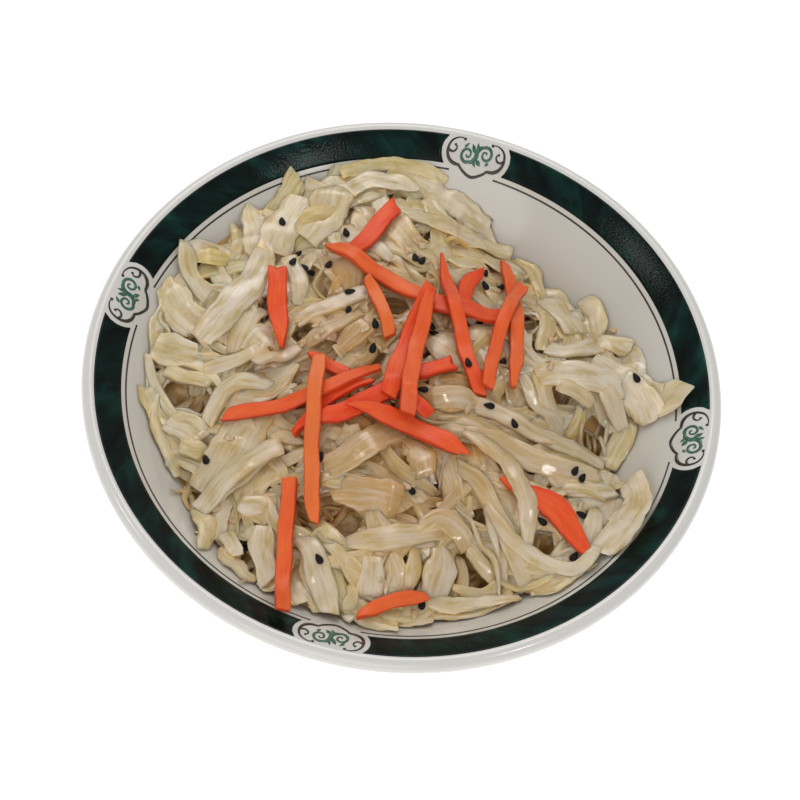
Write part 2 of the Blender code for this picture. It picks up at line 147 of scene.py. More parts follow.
# The panel's motif: a vine scroll of two spirals on one stem, with leaves off its back. A spiral is its
# middle, size, turns, start in degrees and half-width.
SCROLL_STEM = (
    (-2.4, 89.4, 0.42), (-0.9, 89.7, 0.60), (0.1, 91.0, 0.72), (0.2, 92.6, 0.70), (1.2, 94.0, 0.58),
    (2.7, 94.5, 0.42),
)
SCROLL_SPIRALS = (((-2.9, 91.4), 2.15, 1.25, -75, 0.50), ((3.2, 92.4), 2.15, 1.25, 105, 0.50))
SCROLL_LEAVES = (
    ((-0.3, 92.0), (-1.9, 94.6), 0.60),
    ((0.3, 93.2), (-0.2, 95.2), 0.42),
    ((0.4, 90.4), (2.2, 89.0), 0.60),
    ((-0.5, 89.8), (0.6, 88.4), 0.40),
    ((-4.4, 93.2), (-3.0, 94.7), 0.40),
    ((4.7, 90.5), (3.6, 89.4), 0.40),
)
SPIRAL_STEPS = 10
SPIRAL_EYE = 0.12
SPIRAL_THINS = 0.55
LEAF_SHARES = (0, 0.2, 0.45, 0.7, 0.9, 1.0)
LEAF_TIP = 0.05

# Heap, as in the solid: its edge on the bowl's wall is a radius at each heading round the bowl. Its
# bumps are two waves, each by its turns along x and y.
HEAP_EDGE = {
    0: 68, 20: 78, 38: 72, 60: 69, 74: 70, 88: 75, 105: 83, 125: 85, 142: 82, 162: 83,
    180: 80, 205: 77, 225: 76, 247: 80, 263: 82, 280: 82, 293: 78, 308: 76, 326: 83, 345: 79,
}
HEAP_TOP = 51 * MM
HEAP_SHOULDER = 1.05
HEAP_BUMP = 1.1 * MM
HEAP_WAVES = ((0.19, 0.17), (0.11, -0.23))
HEAP_PHASE = 0.9
BOWL_GAP = 0.3 * MM

# The core lies under the heap's surface, deeper in a pit at each gap. Its relief is two waves as well,
# the second one weaker.
CORE_DEPTH = 3.4 * MM
CORE_RINGS = 70
CORE_SEGMENTS = 220
CORE_INSET = 0.985
CORE_RELIEF = 0.7 * MM
CORE_WAVES = ((0.9, 0.8), (0.5, -0.7))
CORE_SECOND = 0.8
CORE_LEAST = 0.4 * MM
PIT_DEPTH = 3.0 * MM

# The cabbage turns amber and less white with the depth under the heap's surface and on each shred's
# underside, which is painted shade; round one place dressing has soaked in, which colours it and deepens
# that shade. Amber shows round another. A place has its middle and reach in x and y.
STAIN_AND_SHADE_TOP = 1.5 * MM
STAIN_AND_SHADE_DEPTH = 4.5 * MM
UNDERSIDE_PAINTED_SHADE = 0.45
EDGE_LEVEL = 0.2
UNSOAKED_SHADE_SHARE = 0.25
SOAK_STAIN = 0.75
SOAKED_PLACE = (8, -26, 44, 40)
AMBER_PLACE = (-12, 18, 30, 26)
MOST_AMBER = 1.2
STAIN_AND_SHADE_DULLS = 0.7

# The ground is a square grid of heights that each piece is laid on.
CELL = 1 * MM
GRID = 208
REACH = GRID * CELL / 2
FAR_ABOVE = 1.0
STEEPEST = 1.2
LAY_STEPS = 100
LAY_SAG = 0.08 * MM
SPACING = 0.8 * MM
CARROT_GAP = 0.15 * MM
FEWEST_ALONG = 6
FEWEST_ACROSS = 3
SLOPE_BLUR = 6
NEED_BLUR = 4


def mm(*values):
    """Millimetres as metres."""
    return tuple(value * MM for value in values)


# --------------------------------------- materials


class Paint:
    """A Principled material whose patterns are wired node by node."""

    def __init__(self, name, **values):
        self.material = bpy.data.materials.new(name)
        self.material.use_nodes = True
        self.tree = self.material.node_tree
        self.shader = self.tree.nodes["Principled BSDF"]
        self.set(**values)

    def set(self, **values):
        for name, value in values.items():
            self.plug(self.shader.inputs[name.replace("_", " ")], value)

    def plug(self, socket, value):
        if isinstance(value, bpy.types.NodeSocket):
            self.tree.links.new(value, socket)
        elif isinstance(value, tuple) and len(value) == 3 and socket.type == "RGBA":
            socket.default_value = (*value, 1.0)
        else:
            socket.default_value = value

    def node(self, kind, inputs=(), **settings):
        """Adds a node, sets its settings and plugs its inputs, given as pairs."""
        node = self.tree.nodes.new("ShaderNode" + kind)
        for name, value in settings.items():
            setattr(node, name, value)
        for name, value in inputs:
            self.plug(node.inputs[name], value)
        return node

    def place(self):
        return self.node("TexCoord").outputs["Object"]

    def attribute(self, name):
        return self.node("Attribute", attribute_name=name).outputs["Vector"]

    def noise(self, vector, scale, detail=3.0, roughness=0.5, distortion=0.0):
        inputs = [
            ("Vector", vector), ("Scale", scale), ("Detail", detail),
            ("Roughness", roughness), ("Distortion", distortion),
        ]
        return self.node("TexNoise", inputs).outputs["Fac"]

    def streaks(self, grain, scale, detail=3.0, roughness=0.5, distortion=0.0):
        """Noise that is stretched along a strip's grain."""
        stretched = self.node("Mapping", [("Vector", grain), ("Scale", scale)]).outputs["Vector"]
        return self.noise(stretched, 1.0, detail, roughness, distortion)

    def ramp(self, factor, *stops):
        """A colour ramp through stops, each a place and a colour."""
        node = self.node("ValToRGB", [("Fac", factor)])
        elements = node.color_ramp.elements
        while len(elements) < len(stops):
            elements.new(0.5)
        for element, (place, colour) in zip(elements, stops):
            element.position = place
            element.color = (*colour, 1.0)
        return node.outputs["Color"]

    def steps(self, factor, low, high, bottom=0.0, top=1.0):
        """Rescales a factor from low..high to bottom..top, clamped."""
        inputs = [
            ("Value", factor), ("From Min", low), ("From Max", high),
            ("To Min", bottom), ("To Max", top),
        ]
        return self.node("MapRange", inputs).outputs["Result"]

    def maths(self, operation, a, b=0.0):
        node = self.node("Math", operation=operation)
        self.plug(node.inputs[0], a)
        self.plug(node.inputs[1], b)
        return node.outputs["Value"]

    def mix(self, factor, a, b):
        node = self.node("Mix", data_type="RGBA")
        self.plug(node.inputs["Factor"], factor)
        self.plug(node.inputs[6], a)
        self.plug(node.inputs[7], b)
        return node.outputs[2]

    def bump(self, height, distance, strength=1.0, under=None):
        inputs = [("Height", height), ("Distance", distance), ("Strength", strength)]
        if under is not None:
            inputs.append(("Normal", under))
        return self.node("Bump", inputs).outputs["Normal"]

    def split(self, vector):
        return self.node("SeparateXYZ", [("Vector", vector)]).outputs

    def scatter(self, weight, radius, method=None):
        """Light that goes in and comes out again up to this far off, in red, green and blue."""
        self.set(Subsurface_Weight=weight, Subsurface_Scale=1.0, Subsurface_Radius=radius)
        if method:
            self.shader.subsurface_method = method


# The glaze turns lighter and whiter between these heights, up to the lip: partly its own tone, partly
# painted light on the lip.
LIP_WHITENS = (46 * MM, 51 * MM)


def glaze_paint():
    """Warm off-white glaze: clear and smooth, a little uneven in tone and surface."""
    paint = Paint("glaze", Roughness=0.16, Coat_Weight=0.5, Coat_Roughness=0.12, IOR=1.5)
    place = paint.place()
    clouds = paint.noise(place, 22.0, roughness=0.55)
    grain = paint.noise(place, 900.0, 2.0, 0.6)
    base = paint.ramp(clouds, (0.30, (0.60, 0.58, 0.53)), (0.70, (0.65, 0.63, 0.58)))
    base = paint.mix(paint.steps(grain, 0.62, 0.80, 0.0, 0.25), base, (0.55, 0.52, 0.47))
    # Lighter towards the lip: partly the glaze's tone, partly painted light.
    lip = paint.steps(paint.split(place)["Z"], *LIP_WHITENS)
    paint.set(Base_Color=paint.mix(lip, base, (0.70, 0.695, 0.685)))
    ripple = paint.noise(place, 60.0, 2.0)
    paint.set(Normal=paint.bump(ripple, 0.15 * MM, 0.35))
    return paint.material


def speckled(name, noise, stops, relief=None, **values):
    """Paint with one noise in its colour, and in its surface where it has a relief.

    The noise is its scale, detail and roughness, and the relief a distance and a strength."""
    paint = Paint(name, **values)
    specks = paint.noise(paint.place(), *noise)
    paint.set(Base_Color=paint.ramp(specks, *stops))
    if relief:
        paint.set(Normal=paint.bump(specks, *relief))
    return paint


def clay_paint():
    """Bare fired clay on the foot ring's underside."""
    stops = ((0.35, (0.42, 0.33, 0.24)), (0.65, (0.60, 0.51, 0.41)))
    return speckled("clay", (1400.0, 4.0, 0.7), stops, (0.1 * MM, 0.8), Roughness=0.85).material


def band_paint():
    """Very dark teal, brushed in slanting strokes that go from near black to green."""
    paint = Paint("band", Roughness=0.14, Specular_IOR_Level=0.12)
    grain = paint.attribute("grain")
    slant = paint.node("Mapping", [("Vector", grain), ("Rotation", (0, 0, 0.9))]).outputs["Vector"]
    strokes = paint.streaks(slant, (0.16, 0.05, 1), roughness=0.6, distortion=0.4)
    patches = paint.streaks(grain, (0.045, 0.09, 1), 2.0)
    mixed = paint.maths("ADD", paint.maths("MULTIPLY", strokes, 0.6), paint.maths("MULTIPLY", patches, 0.4))
    colour = paint.ramp(
        mixed,
        (0.38, (0.0015, 0.0035, 0.0035)),
        (0.50, (0.0025, 0.0120, 0.0100)),
        (0.60, (0.0045, 0.0300, 0.0240)),
        (0.72, (0.0120, 0.0650, 0.0500)),
    )
    peel = paint.streaks(grain, (1.3, 1.3, 1), 2.0, 0.6)
    paint.set(Base_Color=colour, Normal=paint.bump(peel, 0.10 * MM, 0.7))
    return paint.material


def ink_paint():
    """Brown-black line under the glaze."""
    stops = ((0.35, (0.006, 0.005, 0.005)), (0.75, (0.030, 0.022, 0.016)))
    shine = dict(Roughness=0.2, Coat_Weight=0.5, Coat_Roughness=0.08)
    return speckled("ink", (700.0, 3.0, 0.6), stops, **shine).material


def motif_paint():
    """Mid green under the glaze, brushed thin enough in places for it to show."""
    stops = ((0.30, (0.012, 0.075, 0.050)), (0.55, (0.022, 0.125, 0.080)), (0.80, (0.11, 0.27, 0.20)))
    shine = dict(Roughness=0.2, Coat_Weight=0.5, Coat_Roughness=0.08)
    return speckled("motif", (420.0, 3.0, 0.6), stops, **shine).material


def core_paint():
    """The depth between the shreds, glossy: its dark amber-brown is painted shade for the gaps between
    them.
    """
    stops = ((0.3, (0.39, 0.205, 0.055)), (0.55, (0.53, 0.32, 0.105)), (0.8, (0.61, 0.42, 0.17)))
    shine = dict(Roughness=0.35, Coat_Weight=0.3, Coat_Roughness=0.2)
    return speckled("depth", (120.0, 4.0, 0.6), stops, (1.0 * MM, 0.8), **shine).material


def cabbage_paint(name, sheen, dullness):
    """Raw cabbage in dressing: fibres along each shred, and a tint that each shred carries.

    The tint's parts are how green, how amber and how white the shred is. Its roughness goes from the
    sheen to the dullness."""
    paint = Paint(name, IOR=1.40)
    grain = paint.attribute("grain")
    green, amber, white = (paint.split(paint.attribute("tint"))[axis] for axis in "XYZ")
    fibre = paint.streaks(grain, (0.08, 0.9, 0.6), roughness=0.55)
    blotch = paint.streaks(grain, (0.10, 0.26, 0.25))
    damp = paint.streaks(grain, (0.25, 0.25, 0.25), 2.0)
    soaked, plain, pale = (0.49, 0.37, 0.14), (0.61, 0.50, 0.28), (0.66, 0.57, 0.41)
    flesh = paint.ramp(blotch, (0.30, soaked), (0.48, plain), (0.68, pale))
    clear = paint.steps(blotch, 0.38, 0.58, 0.15, 1.0)
    flesh = paint.mix(paint.maths("MULTIPLY", white, clear), flesh, (0.73, 0.66, 0.55))
    leafy = paint.ramp(fibre, (0.30, (0.50, 0.405, 0.10)), (0.70, (0.66, 0.56, 0.23)))
    flesh = paint.mix(green, flesh, leafy)
    # The amber tint carries painted shade in the depth and on undersides, as well as the dressing's colour.
    flesh = paint.mix(paint.maths("MULTIPLY", amber, 0.75), flesh, (0.45, 0.22, 0.045))
    flesh = paint.mix(paint.steps(fibre, 0.48, 0.72, 0.0, 0.42), flesh, (0.74, 0.655, 0.53))
    flesh = paint.mix(paint.steps(fibre, 0.50, 0.28, 0.0, 0.42), flesh, (0.45, 0.28, 0.09))
    swell = paint.bump(blotch, 0.5 * MM, 0.3)
    veins = paint.bump(fibre, 0.16 * MM, 0.45)
    paint.set(Base_Color=flesh, Roughness=paint.steps(damp, 0.35, 0.65, sheen, dullness))
    paint.set(Coat_Weight=paint.steps(damp, 0.62, 0.42, 0.2, 0.9), Coat_Roughness=0.10, Coat_Normal=swell)
    paint.scatter(0.90, mm(4.0, 3.0, 2.0), "BURLEY")
    paint.set(Normal=paint.bump(blotch, 0.5 * MM, 0.3, veins))
    return paint.material


def carrot_paint():
    """Raw carrot: orange-red flesh with lighter fibres along it, and deeper red along its sides and at its
    ends.
    """
    paint = Paint("carrot", IOR=1.40)
    grain = paint.attribute("grain")
    pale, edge = (paint.split(paint.attribute("tint"))[axis] for axis in "XY")
    fibre = paint.streaks(grain, (0.12, 1.6, 1.0), roughness=0.6)
    patch = paint.streaks(grain, (0.12, 0.30, 0.3))
    deep, plain, light = (0.76, 0.038, 0.011), (0.85, 0.070, 0.016), (0.88, 0.120, 0.025)
    flesh = paint.ramp(patch, (0.25, deep), (0.50, plain), (0.80, light))
    flesh = paint.mix(paint.steps(fibre, 0.45, 0.75, 0.0, 0.40), flesh, (0.88, 0.20, 0.050))
    flesh = paint.mix(paint.steps(fibre, 0.42, 0.25, 0.0, 0.30), flesh, (0.56, 0.028, 0.010))
    flesh = paint.mix(pale, flesh, (0.80, 0.25, 0.055))
    flesh = paint.mix(paint.steps(edge, 0.80, 1.0, 0.0, 0.6), flesh, (0.50, 0.028, 0.010))
    paint.set(Base_Color=flesh, Coat_Weight=0.12, Coat_Roughness=0.2, Specular_IOR_Level=0.35)
    paint.set(Roughness=paint.steps(patch, 0.3, 0.7, 0.30, 0.50))
    paint.scatter(0.35, mm(2.2, 0.8, 0.3))
    ridges = paint.bump(fibre, 0.24 * MM, 0.5)
    paint.set(Normal=paint.bump(patch, 0.3 * MM, 0.2, ridges))
    return paint.material


def black_seed_paint():
    """Black sesame hull: matt black with a faint brown sheen."""
    stops = ((0.35, (0.003, 0.003, 0.003)), (0.75, (0.014, 0.011, 0.009)))
    shine = dict(Roughness=0.5, Specular_IOR_Level=0.2)
    return speckled("black_seed", (2600.0, 3.0, 0.6), stops, (0.05 * MM, 0.8), **shine).material


def pale_seed_paint():
    """Hulled sesame: translucent tan, darker where dressing has soaked in."""
    stops = ((0.32, (0.40, 0.24, 0.10)), (0.55, (0.62, 0.45, 0.26)), (0.75, (0.76, 0.63, 0.45)))
    paint = speckled("pale_seed", (500.0, 3.0, 0.6), stops, Roughness=0.30, Coat_Weight=0.3)
    paint.scatter(0.4, mm(1, 0.8, 0.5))
    return paint.material


def floor_paint():
    """Plain, almost white ground, a little uneven."""
    stops = ((0.3, (0.93, 0.93, 0.93)), (0.7, (0.95, 0.95, 0.95)))
    glow = dict(Emission_Color=(1.0, 1.0, 1.0), Emission_Strength=0.44)
    return speckled("floor", (3.0, 2.0, 0.5), stops, Roughness=0.8, **glow).material


# ------------------------------------------ pieces


def add_object(name, data):
    """Adds an object that shows this data to the scene."""
    thing = bpy.data.objects.new(name, data)
    bpy.context.scene.collection.objects.link(thing)
    return thing


def new_piece(name, verts, faces, *materials):
    """Makes a smooth mesh object that rides on the part's one body."""
    mesh = bpy.data.meshes.new(name)
    mesh.from_pydata([tuple(v) for v in verts], [], [tuple(f) for f in faces])
    for material in materials:
        mesh.materials.append(material)
    mesh.shade_smooth()
    mesh.update()
    piece = add_object(name, mesh)
    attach(piece, ROOT)
    return piece


def vector_attribute(mesh, name, values):
    """Stores three values for each vertex, which materials read by the name."""
    layer = mesh.attributes.new(name, "FLOAT_VECTOR", "POINT")
    layer.data.foreach_set("vector", np.asarray(values, np.float32).ravel())


def tree_of(thing):
    """A search tree over a thing's faces."""
    bm = bmesh.new()
    bm.from_mesh(thing.data)
    tree = BVHTree.FromBMesh(bm)
    bm.free()
    return tree


def circle(steps):
    """Angles all the way round, in radians."""
    return np.arange(steps) * math.tau / steps


def unit(rows):
    """Rows scaled to a length of 1."""
    return rows / np.linalg.norm(rows, axis=1)[:, None]


def shell_faces(rings, count):
    """Faces round rings of points in their order, and fans that close both ends.

    The fans go to the two middle points that follow the rings. Faces look out where the rings run
    clockwise, as seen from the first middle point."""
    i, j = np.meshgrid(np.arange(rings - 1) * count, np.arange(count), indexing="ij")
    k = (j + 1) % count
    walls = np.stack((i + j, i + k, i + count + k, i + count + j), axis=-1).reshape(-1, 4)
    j, k = j[0], k[0]
    last, middle = (rings - 1) * count, np.full(count, rings * count)
    fans = (np.column_stack((k, j, middle)), np.column_stack((last + j, last + k, middle + 1)))
    return [tuple(face) for group in (walls, *fans) for face in group]


def turned(name, profile, steps, *materials):
    """A closed solid turned from a profile that starts and ends on the axis."""
    rings = profile[1:-1]
    verts = [(r * math.cos(a), r * math.sin(a), z) for r, z in rings for a in -circle(steps)]
    verts += [(0, 0, profile[0][1]), (0, 0, profile[-1][1])]
    return new_piece(name, verts, shell_faces(len(rings), steps), *materials)


# -------------------------------------------- bowl


def lip_point(degrees):
    """A point of the rolled lip, as radius and height."""
    angle = math.radians(degrees)
    return LIP_CENTRE[0] + LIP_BEAD * math.cos(angle), LIP_CENTRE[1] + LIP_BEAD * math.sin(angle)


LIP_ANGLE = 90 + math.degrees(math.atan(LIP_SLOPE))
RIM = (*lip_point(LIP_ANGLE), LIP_SLOPE)
STATIONS = (FLOOR, FLOOR_EDGE, MID_WALL, RIM)


def wall_point(radius):
    """Height and slope of the bowl's inner face, on smooth curves from station to station."""
    for (r0, z0, m0), (r1, z1, m1) in zip(STATIONS, STATIONS[1:]):
        if radius <= r1:
            break
    span = r1 - r0
    t = min((radius - r0) / span, 1.0)
    height = (2 * t**3 - 3 * t**2 + 1) * z0 + (t**3 - 2 * t**2 + t) * span * m0
    height = height + (3 * t**2 - 2 * t**3) * z1 + (t**3 - t**2) * span * m1
    slope = (6 * t**2 - 6 * t) * (z0 - z1) / span
    slope = slope + (3 * t**2 - 4 * t + 1) * m0 + (3 * t**2 - 2 * t) * m1
    return height, slope


def bowl_profile():
    """The bowl's section from the middle of its floor, over the lip and down to the foot."""
    radii = [RIM[0] * i / INNER_STEPS for i in range(INNER_STEPS)]
    points = [(r, wall_point(r)[0]) for r in radii]
    points += [lip_point(LIP_ANGLE - 180 * i / LIP_STEPS) for i in range(LIP_STEPS + 1)]
    for r in reversed([r for r in radii if r > FOOT_OUTER]):
        height, slope = wall_point(r)
        normal = math.hypot(slope, 1)
        points.append((r + WALL * slope / normal, height - WALL / normal))
    turns = [math.radians(90 * i / FOOT_TURN_STEPS) for i in range(FOOT_TURN_STEPS + 1)]
    rounds = [(FOOT_ROUND * (1 - math.cos(a)), FOOT_ROUND * (1 - math.sin(a))) for a in turns]
    points += [(FOOT_OUTER + late, FOOT_TOP - early) for early, late in rounds]
    points += [(FOOT_OUTER - early, late) for early, late in rounds]
    recess_edge = FOOT_INNER - FOOT_ROUND
    points += [(FOOT_INNER, 0), (recess_edge, FOOT_ROUND), (recess_edge, RECESS), (0, RECESS)]
    return points


def make_bowl():
    """The glazed bowl, with bare clay where it stands."""
    bowl = turned("bowl_glazed", bowl_profile(), TURN_STEPS, glaze_paint(), clay_paint())
    for face in bowl.data.polygons:
        if face.center.z < STANDING:
            face.material_index = 1
    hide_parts("bowl")
    return bowl


# ------------------------------------ rim ornament


def on_glaze(degrees, radius, lift):
    """A point above the bowl's inner face or lip, by this much along its normal."""
    if radius <= RIM[0]:
        height, slope = wall_point(radius)
    else:
        lean = math.acos((radius - LIP_CENTRE[0]) / LIP_BEAD)
        height = LIP_CENTRE[1] + LIP_BEAD * math.sin(lean)
        slope = -1 / math.tan(lean)
    normal = math.hypot(slope, 1)
    out = radius - lift * slope / normal
    angle = math.radians(degrees)
    return out * math.cos(angle), out * math.sin(angle), height + lift / normal


def panel_place(centre, aside, radius):
    """Angle and radius of a point of a panel. The side and radius are in millimetres."""
    return centre - math.degrees(aside / radius), radius * MM


def smooth_path(path, steps=6):
    """A curve through a path's points, with any widths they carry, by Catmull-Rom."""
    points = np.array(path, float)
    ends = np.vstack((2 * points[0] - points[1], points, 2 * points[-1] - points[-2]))
    out = []
    for a, b, c, d in zip(ends, ends[1:], ends[2:], ends[3:]):
        for t in np.arange(steps) / steps:
            square = (2 * a - 5 * b + 4 * c - d) * t**2
            cube = (3 * b - a - 3 * c + d) * t**3
            out.append(0.5 * (2 * b + (c - a) * t + square + cube))
    out.append(points[-1])
    return np.array(out)


class Decals:
    """Thin closed skins of one colour that lie in the glaze, gathered in one piece."""

    def __init__(self, name, material):
        self.name = name
        self.material = material
        self.verts = []
        self.faces = []
        self.grain = []

    def skin(self, rows):
        """Adds a skin over a grid of points, each an angle and a radius. Rows have equal lengths."""
        start = len(self.verts)
        for lift in (INK_LIFT, -INK_SINK):
            for degrees, radius in (point for row in rows for point in row):
                self.verts.append(on_glaze(degrees, radius, lift))
                self.grain.append((math.radians(degrees) * BAND[1] / MM, radius / MM, 0.0))
        last_row, last = len(rows) - 1, len(rows[0]) - 1

        def at(i, j, under=0):
            return start + (under * (last_row + 1) + i) * (last + 1) + j

        for i in range(last_row):
            for j in range(last):
                self.faces.append((at(i, j), at(i, j + 1), at(i + 1, j + 1), at(i + 1, j)))
                self.faces.append((at(i, j, 1), at(i + 1, j, 1), at(i + 1, j + 1, 1), at(i, j + 1, 1)))
        for j in range(last):
            self.faces.append((at(0, j), at(0, j, 1), at(0, j + 1, 1), at(0, j + 1)))
            far, after = at(last_row, j), at(last_row, j + 1)
            self.faces.append((far, after, at(last_row, j + 1, 1), at(last_row, j, 1)))
        for i in range(last_row):
            self.faces.append((at(i, 0), at(i + 1, 0), at(i + 1, 0, 1), at(i, 0, 1)))
            self.faces.append((at(i, last), at(i, last, 1), at(i + 1, last, 1), at(i + 1, last)))

    def ribbon(self, centre, path, side=1):
        """Adds a stroke along a path of points, each a place to the side, a radius and a half-width."""
        path = smooth_path(path)
        ahead = unit(np.gradient(path[:, :2], axis=0))
        across = np.stack((-ahead[:, 1], ahead[:, 0]), axis=1)
        edges = [path[:, :2] + across * path[:, 2:] * s for s in (-1, 0, 1)]
        self.skin([[panel_place(centre, side * a, r) for a, r in edge] for edge in edges])

    def dot(self, centre, dot, side=1):
        """Adds a round dot, given by its place to the side, its radius from the axis and its size."""
        aside, radius, size = dot
        ring = [math.tau * k / DOT_STEPS for k in range(DOT_STEPS + 1)]
        rows = []
        for reach in (share * size for share in DOT_RINGS):
            places = [(side * (aside + reach * math.cos(t)), radius + reach * math.sin(t)) for t in ring]
            rows.append([panel_place(centre, *place) for place in places])
        self.skin(rows)

    def finish(self):
        piece = new_piece(self.name, self.verts, self.faces, self.material)
        bm = bmesh.new()
        bm.from_mesh(piece.data)
        bmesh.ops.recalc_face_normals(bm, faces=bm.faces)
        bm.to_mesh(piece.data)
        bm.free()
        vector_attribute(piece.data, "grain", self.grain)


def spiral(middle, size, turns, start, width):
    """A stroke that winds clockwise in to the middle: places to the side, radii and half-widths."""
    points = []
    count = max(4, round(turns * SPIRAL_STEPS))
    for share in (i / count for i in range(count + 1)):
        reach = size * (1 - share) ** 0.8 + SPIRAL_EYE
        angle = math.radians(start) - math.tau * turns * share
        x, y = middle[0] + reach * math.cos(angle), middle[1] + reach * math.sin(angle)
        points.append((x, y, width * (1 - SPIRAL_THINS * share)))
    return points


def leaf(start, end, width):
    """A pointed stroke from start to end."""
    points = []
    for share in LEAF_SHARES:
        x, y = (a + (b - a) * share for a, b in zip(start, end))
        points.append((x, y, math.sin(math.pi * share**0.8) * width + LEAF_TIP))
    return points


def arc_between(start, end, radius):
    """Points along the rim from one angle to another."""
    return [(angle, radius) for angle in np.linspace(start, end, ARC_STEPS)]


def make_ornament():
    """The band, the thin line, and the outline and scroll of each panel."""
    band = Decals("rim_band", band_paint())
    lines = Decals("rim_lines", ink_paint())
    scrolls = Decals("rim_scrolls", motif_paint())
    levels, widths = np.transpose(PANEL_HALF_WIDTHS) * MM
    line_gap = math.degrees(LINE_STOP / LINE_RADIUS)
    for here, there in zip(PANEL_ANGLES, (*PANEL_ANGLES[1:], PANEL_ANGLES[0] + 360)):
        rows = []
        for radius in np.linspace(*BAND, BAND_ROWS):
            gap = math.degrees(np.interp(radius, levels, widths) / radius)
            rows.append(arc_between(here + gap, there - gap, radius))
        band.skin(rows)
        sides = (LINE_RADIUS - LINE_HALF_WIDTH, LINE_RADIUS + LINE_HALF_WIDTH)
        lines.skin([arc_between(here + line_gap, there - line_gap, radius) for radius in sides])
        for side in (-1, 1):
            for stroke, end in ((ARCH, None), (LOBE, LOBE_DOT), (HOOK, HOOK_DOT)):
                lines.ribbon(here, stroke, side)
                if end:
                    lines.dot(here, end, side)
        scrolls.ribbon(here, SCROLL_STEM)
        for curl in SCROLL_SPIRALS:
            scrolls.ribbon(here, spiral(*curl))
        for blade in SCROLL_LEAVES:
            scrolls.ribbon(here, leaf(*blade))
    for decals in (band, lines, scrolls):
        decals.finish()


# ------------------------------------------ ground


def heap_edge(angle):
    """Radius of the heap's edge at an angle round the bowl, in radians."""
    headings = [*HEAP_EDGE, 360]
    radii = [*HEAP_EDGE.values(), HEAP_EDGE[0]]
    return np.interp(np.degrees(angle) % 360, headings, radii) * MM


WALL_RADII = np.linspace(0, RIM[0], 300)
WALL_HEIGHTS = np.array([wall_point(r)[0] for r in WALL_RADII])


def wall_height(radius):
    """Height of the bowl's inner face at a radius or an array of them."""
    return np.interp(radius, WALL_RADII, WALL_HEIGHTS)


def heap_height(x, y):
    """Height of the bare heap in the solid: a dome down to its edge on the wall, with soft bumps."""
    edge = heap_edge(np.arctan2(y, x))
    low = wall_height(edge) + BOWL_GAP
    share = np.minimum(np.hypot(x, y) / edge, 1.0)
    dome = low + (HEAP_TOP - low) * (1 - share**2) ** HEAP_SHOULDER
    (p, q), (r, s) = HEAP_WAVES
    u, v = x / MM, y / MM
    bump = np.sin(p * u + HEAP_PHASE) * np.cos(q * v) + np.sin(r * u + s * v)
    return dome + HEAP_BUMP * bump * (1 - share**4)


def core_depth(x, y):
    """How deep the core lies under the heap's surface: deeper in a pit at each open gap."""
    pits = [np.exp(-((x / MM - a) ** 2 + (y / MM - b) ** 2) / r**2) for a, b, r in GAPS]
    return CORE_DEPTH + PIT_DEPTH * np.max(pits, axis=0)


def place_share(place, x, y):
    """How near a point is to a place: 1 in its middle, and falling off over its reach."""
    middle_x, middle_y, reach_x, reach_y = mm(*place)
    return np.exp(-(((x - middle_x) / reach_x) ** 2) - ((y - middle_y) / reach_y) ** 2)


def blurred(values, times):
    """Values of a grid, smoothed along both its axes."""
    for _ in range(times):
        for axis in (0, 1):
            values = (np.roll(values, 1, axis) + 2 * values + np.roll(values, -1, axis)) / 4
    return values


class Ground:
    """Heights on a square grid, which rise as pieces are laid, and a ceiling that the carrots set."""

    def __init__(self):
        at = (np.arange(GRID) + 0.5) * CELL - REACH
        self.x, self.y = np.meshgrid(at, at, indexing="ij")
        radius = np.hypot(self.x, self.y)
        self.bowl = wall_height(radius) + BOWL_GAP
        self.target = np.maximum(heap_height(self.x, self.y), self.bowl)
        self.inside = radius < heap_edge(np.arctan2(self.y, self.x))
        self.height = np.maximum(self.target - core_depth(self.x, self.y), self.bowl)
        self.height[~self.inside] = self.bowl[~self.inside]
        self.ceiling = np.full_like(self.height, FAR_ABOVE)
        self.slopes = np.gradient(blurred(self.target, SLOPE_BLUR), CELL)
        self.gap = np.zeros_like(self.inside)
        for x, y, reach in GAPS:
            self.gap |= np.hypot(self.x - x * MM, self.y - y * MM) < reach * MM

    def cells(self, x, y):
        i = np.clip(((np.asarray(x) + REACH) / CELL).astype(int), 0, GRID - 1)
        j = np.clip(((np.asarray(y) + REACH) / CELL).astype(int), 0, GRID - 1)
        return i, j

    def cast(self, node, start, direction):
        """Cells and heights where vertical rays from a start height first meet a node."""
        tree = tree_of(node)
        low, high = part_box(node.name)
        over = (self.x > low.x) & (self.x < high.x) & (self.y > low.y) & (self.y < high.y)
        for i, j in np.argwhere(over):
            hit = tree.ray_cast(Vector((self.x[i, j], self.y[i, j], start)), Vector((0, 0, direction)))[0]
            if hit:
                yield i, j, hit.z

    def add_ceiling(self, node):
        """Lowers the ceiling to a node's underside, and a cell's width round it."""
        under = np.full_like(self.height, FAR_ABOVE)
        for i, j, z in self.cast(node, -FAR_ABOVE, 1):
            under[i, j] = z
        for axis in (0, 1):
            under = np.minimum(under, np.minimum(np.roll(under, 1, axis), np.roll(under, -1, axis)))
        self.ceiling = np.minimum(self.ceiling, under)

    def add_top(self, node):
        """Raises the ground to a node's top."""
        for i, j, z in self.cast(node, FAR_ABOVE, -1):
            self.height[i, j] = max(self.height[i, j], z)

    def find_need(self):
        """Keeps how far the ground is under the heap's surface, smoothed."""
        self.need = blurred(np.where(self.inside, self.target - self.height, 0.0), NEED_BLUR)

    def raise_to(self, x, y, z):
        np.maximum.at(self.height, self.cells(x, y), z)

    def slope_along(self, points, directions):
        cells = self.cells(*points.T)
        slope = self.slopes[0][cells] * directions[:, 0] + self.slopes[1][cells] * directions[:, 1]
        return np.clip(slope, -STEEPEST, STEEPEST)


# --------------------------------- strips of rings


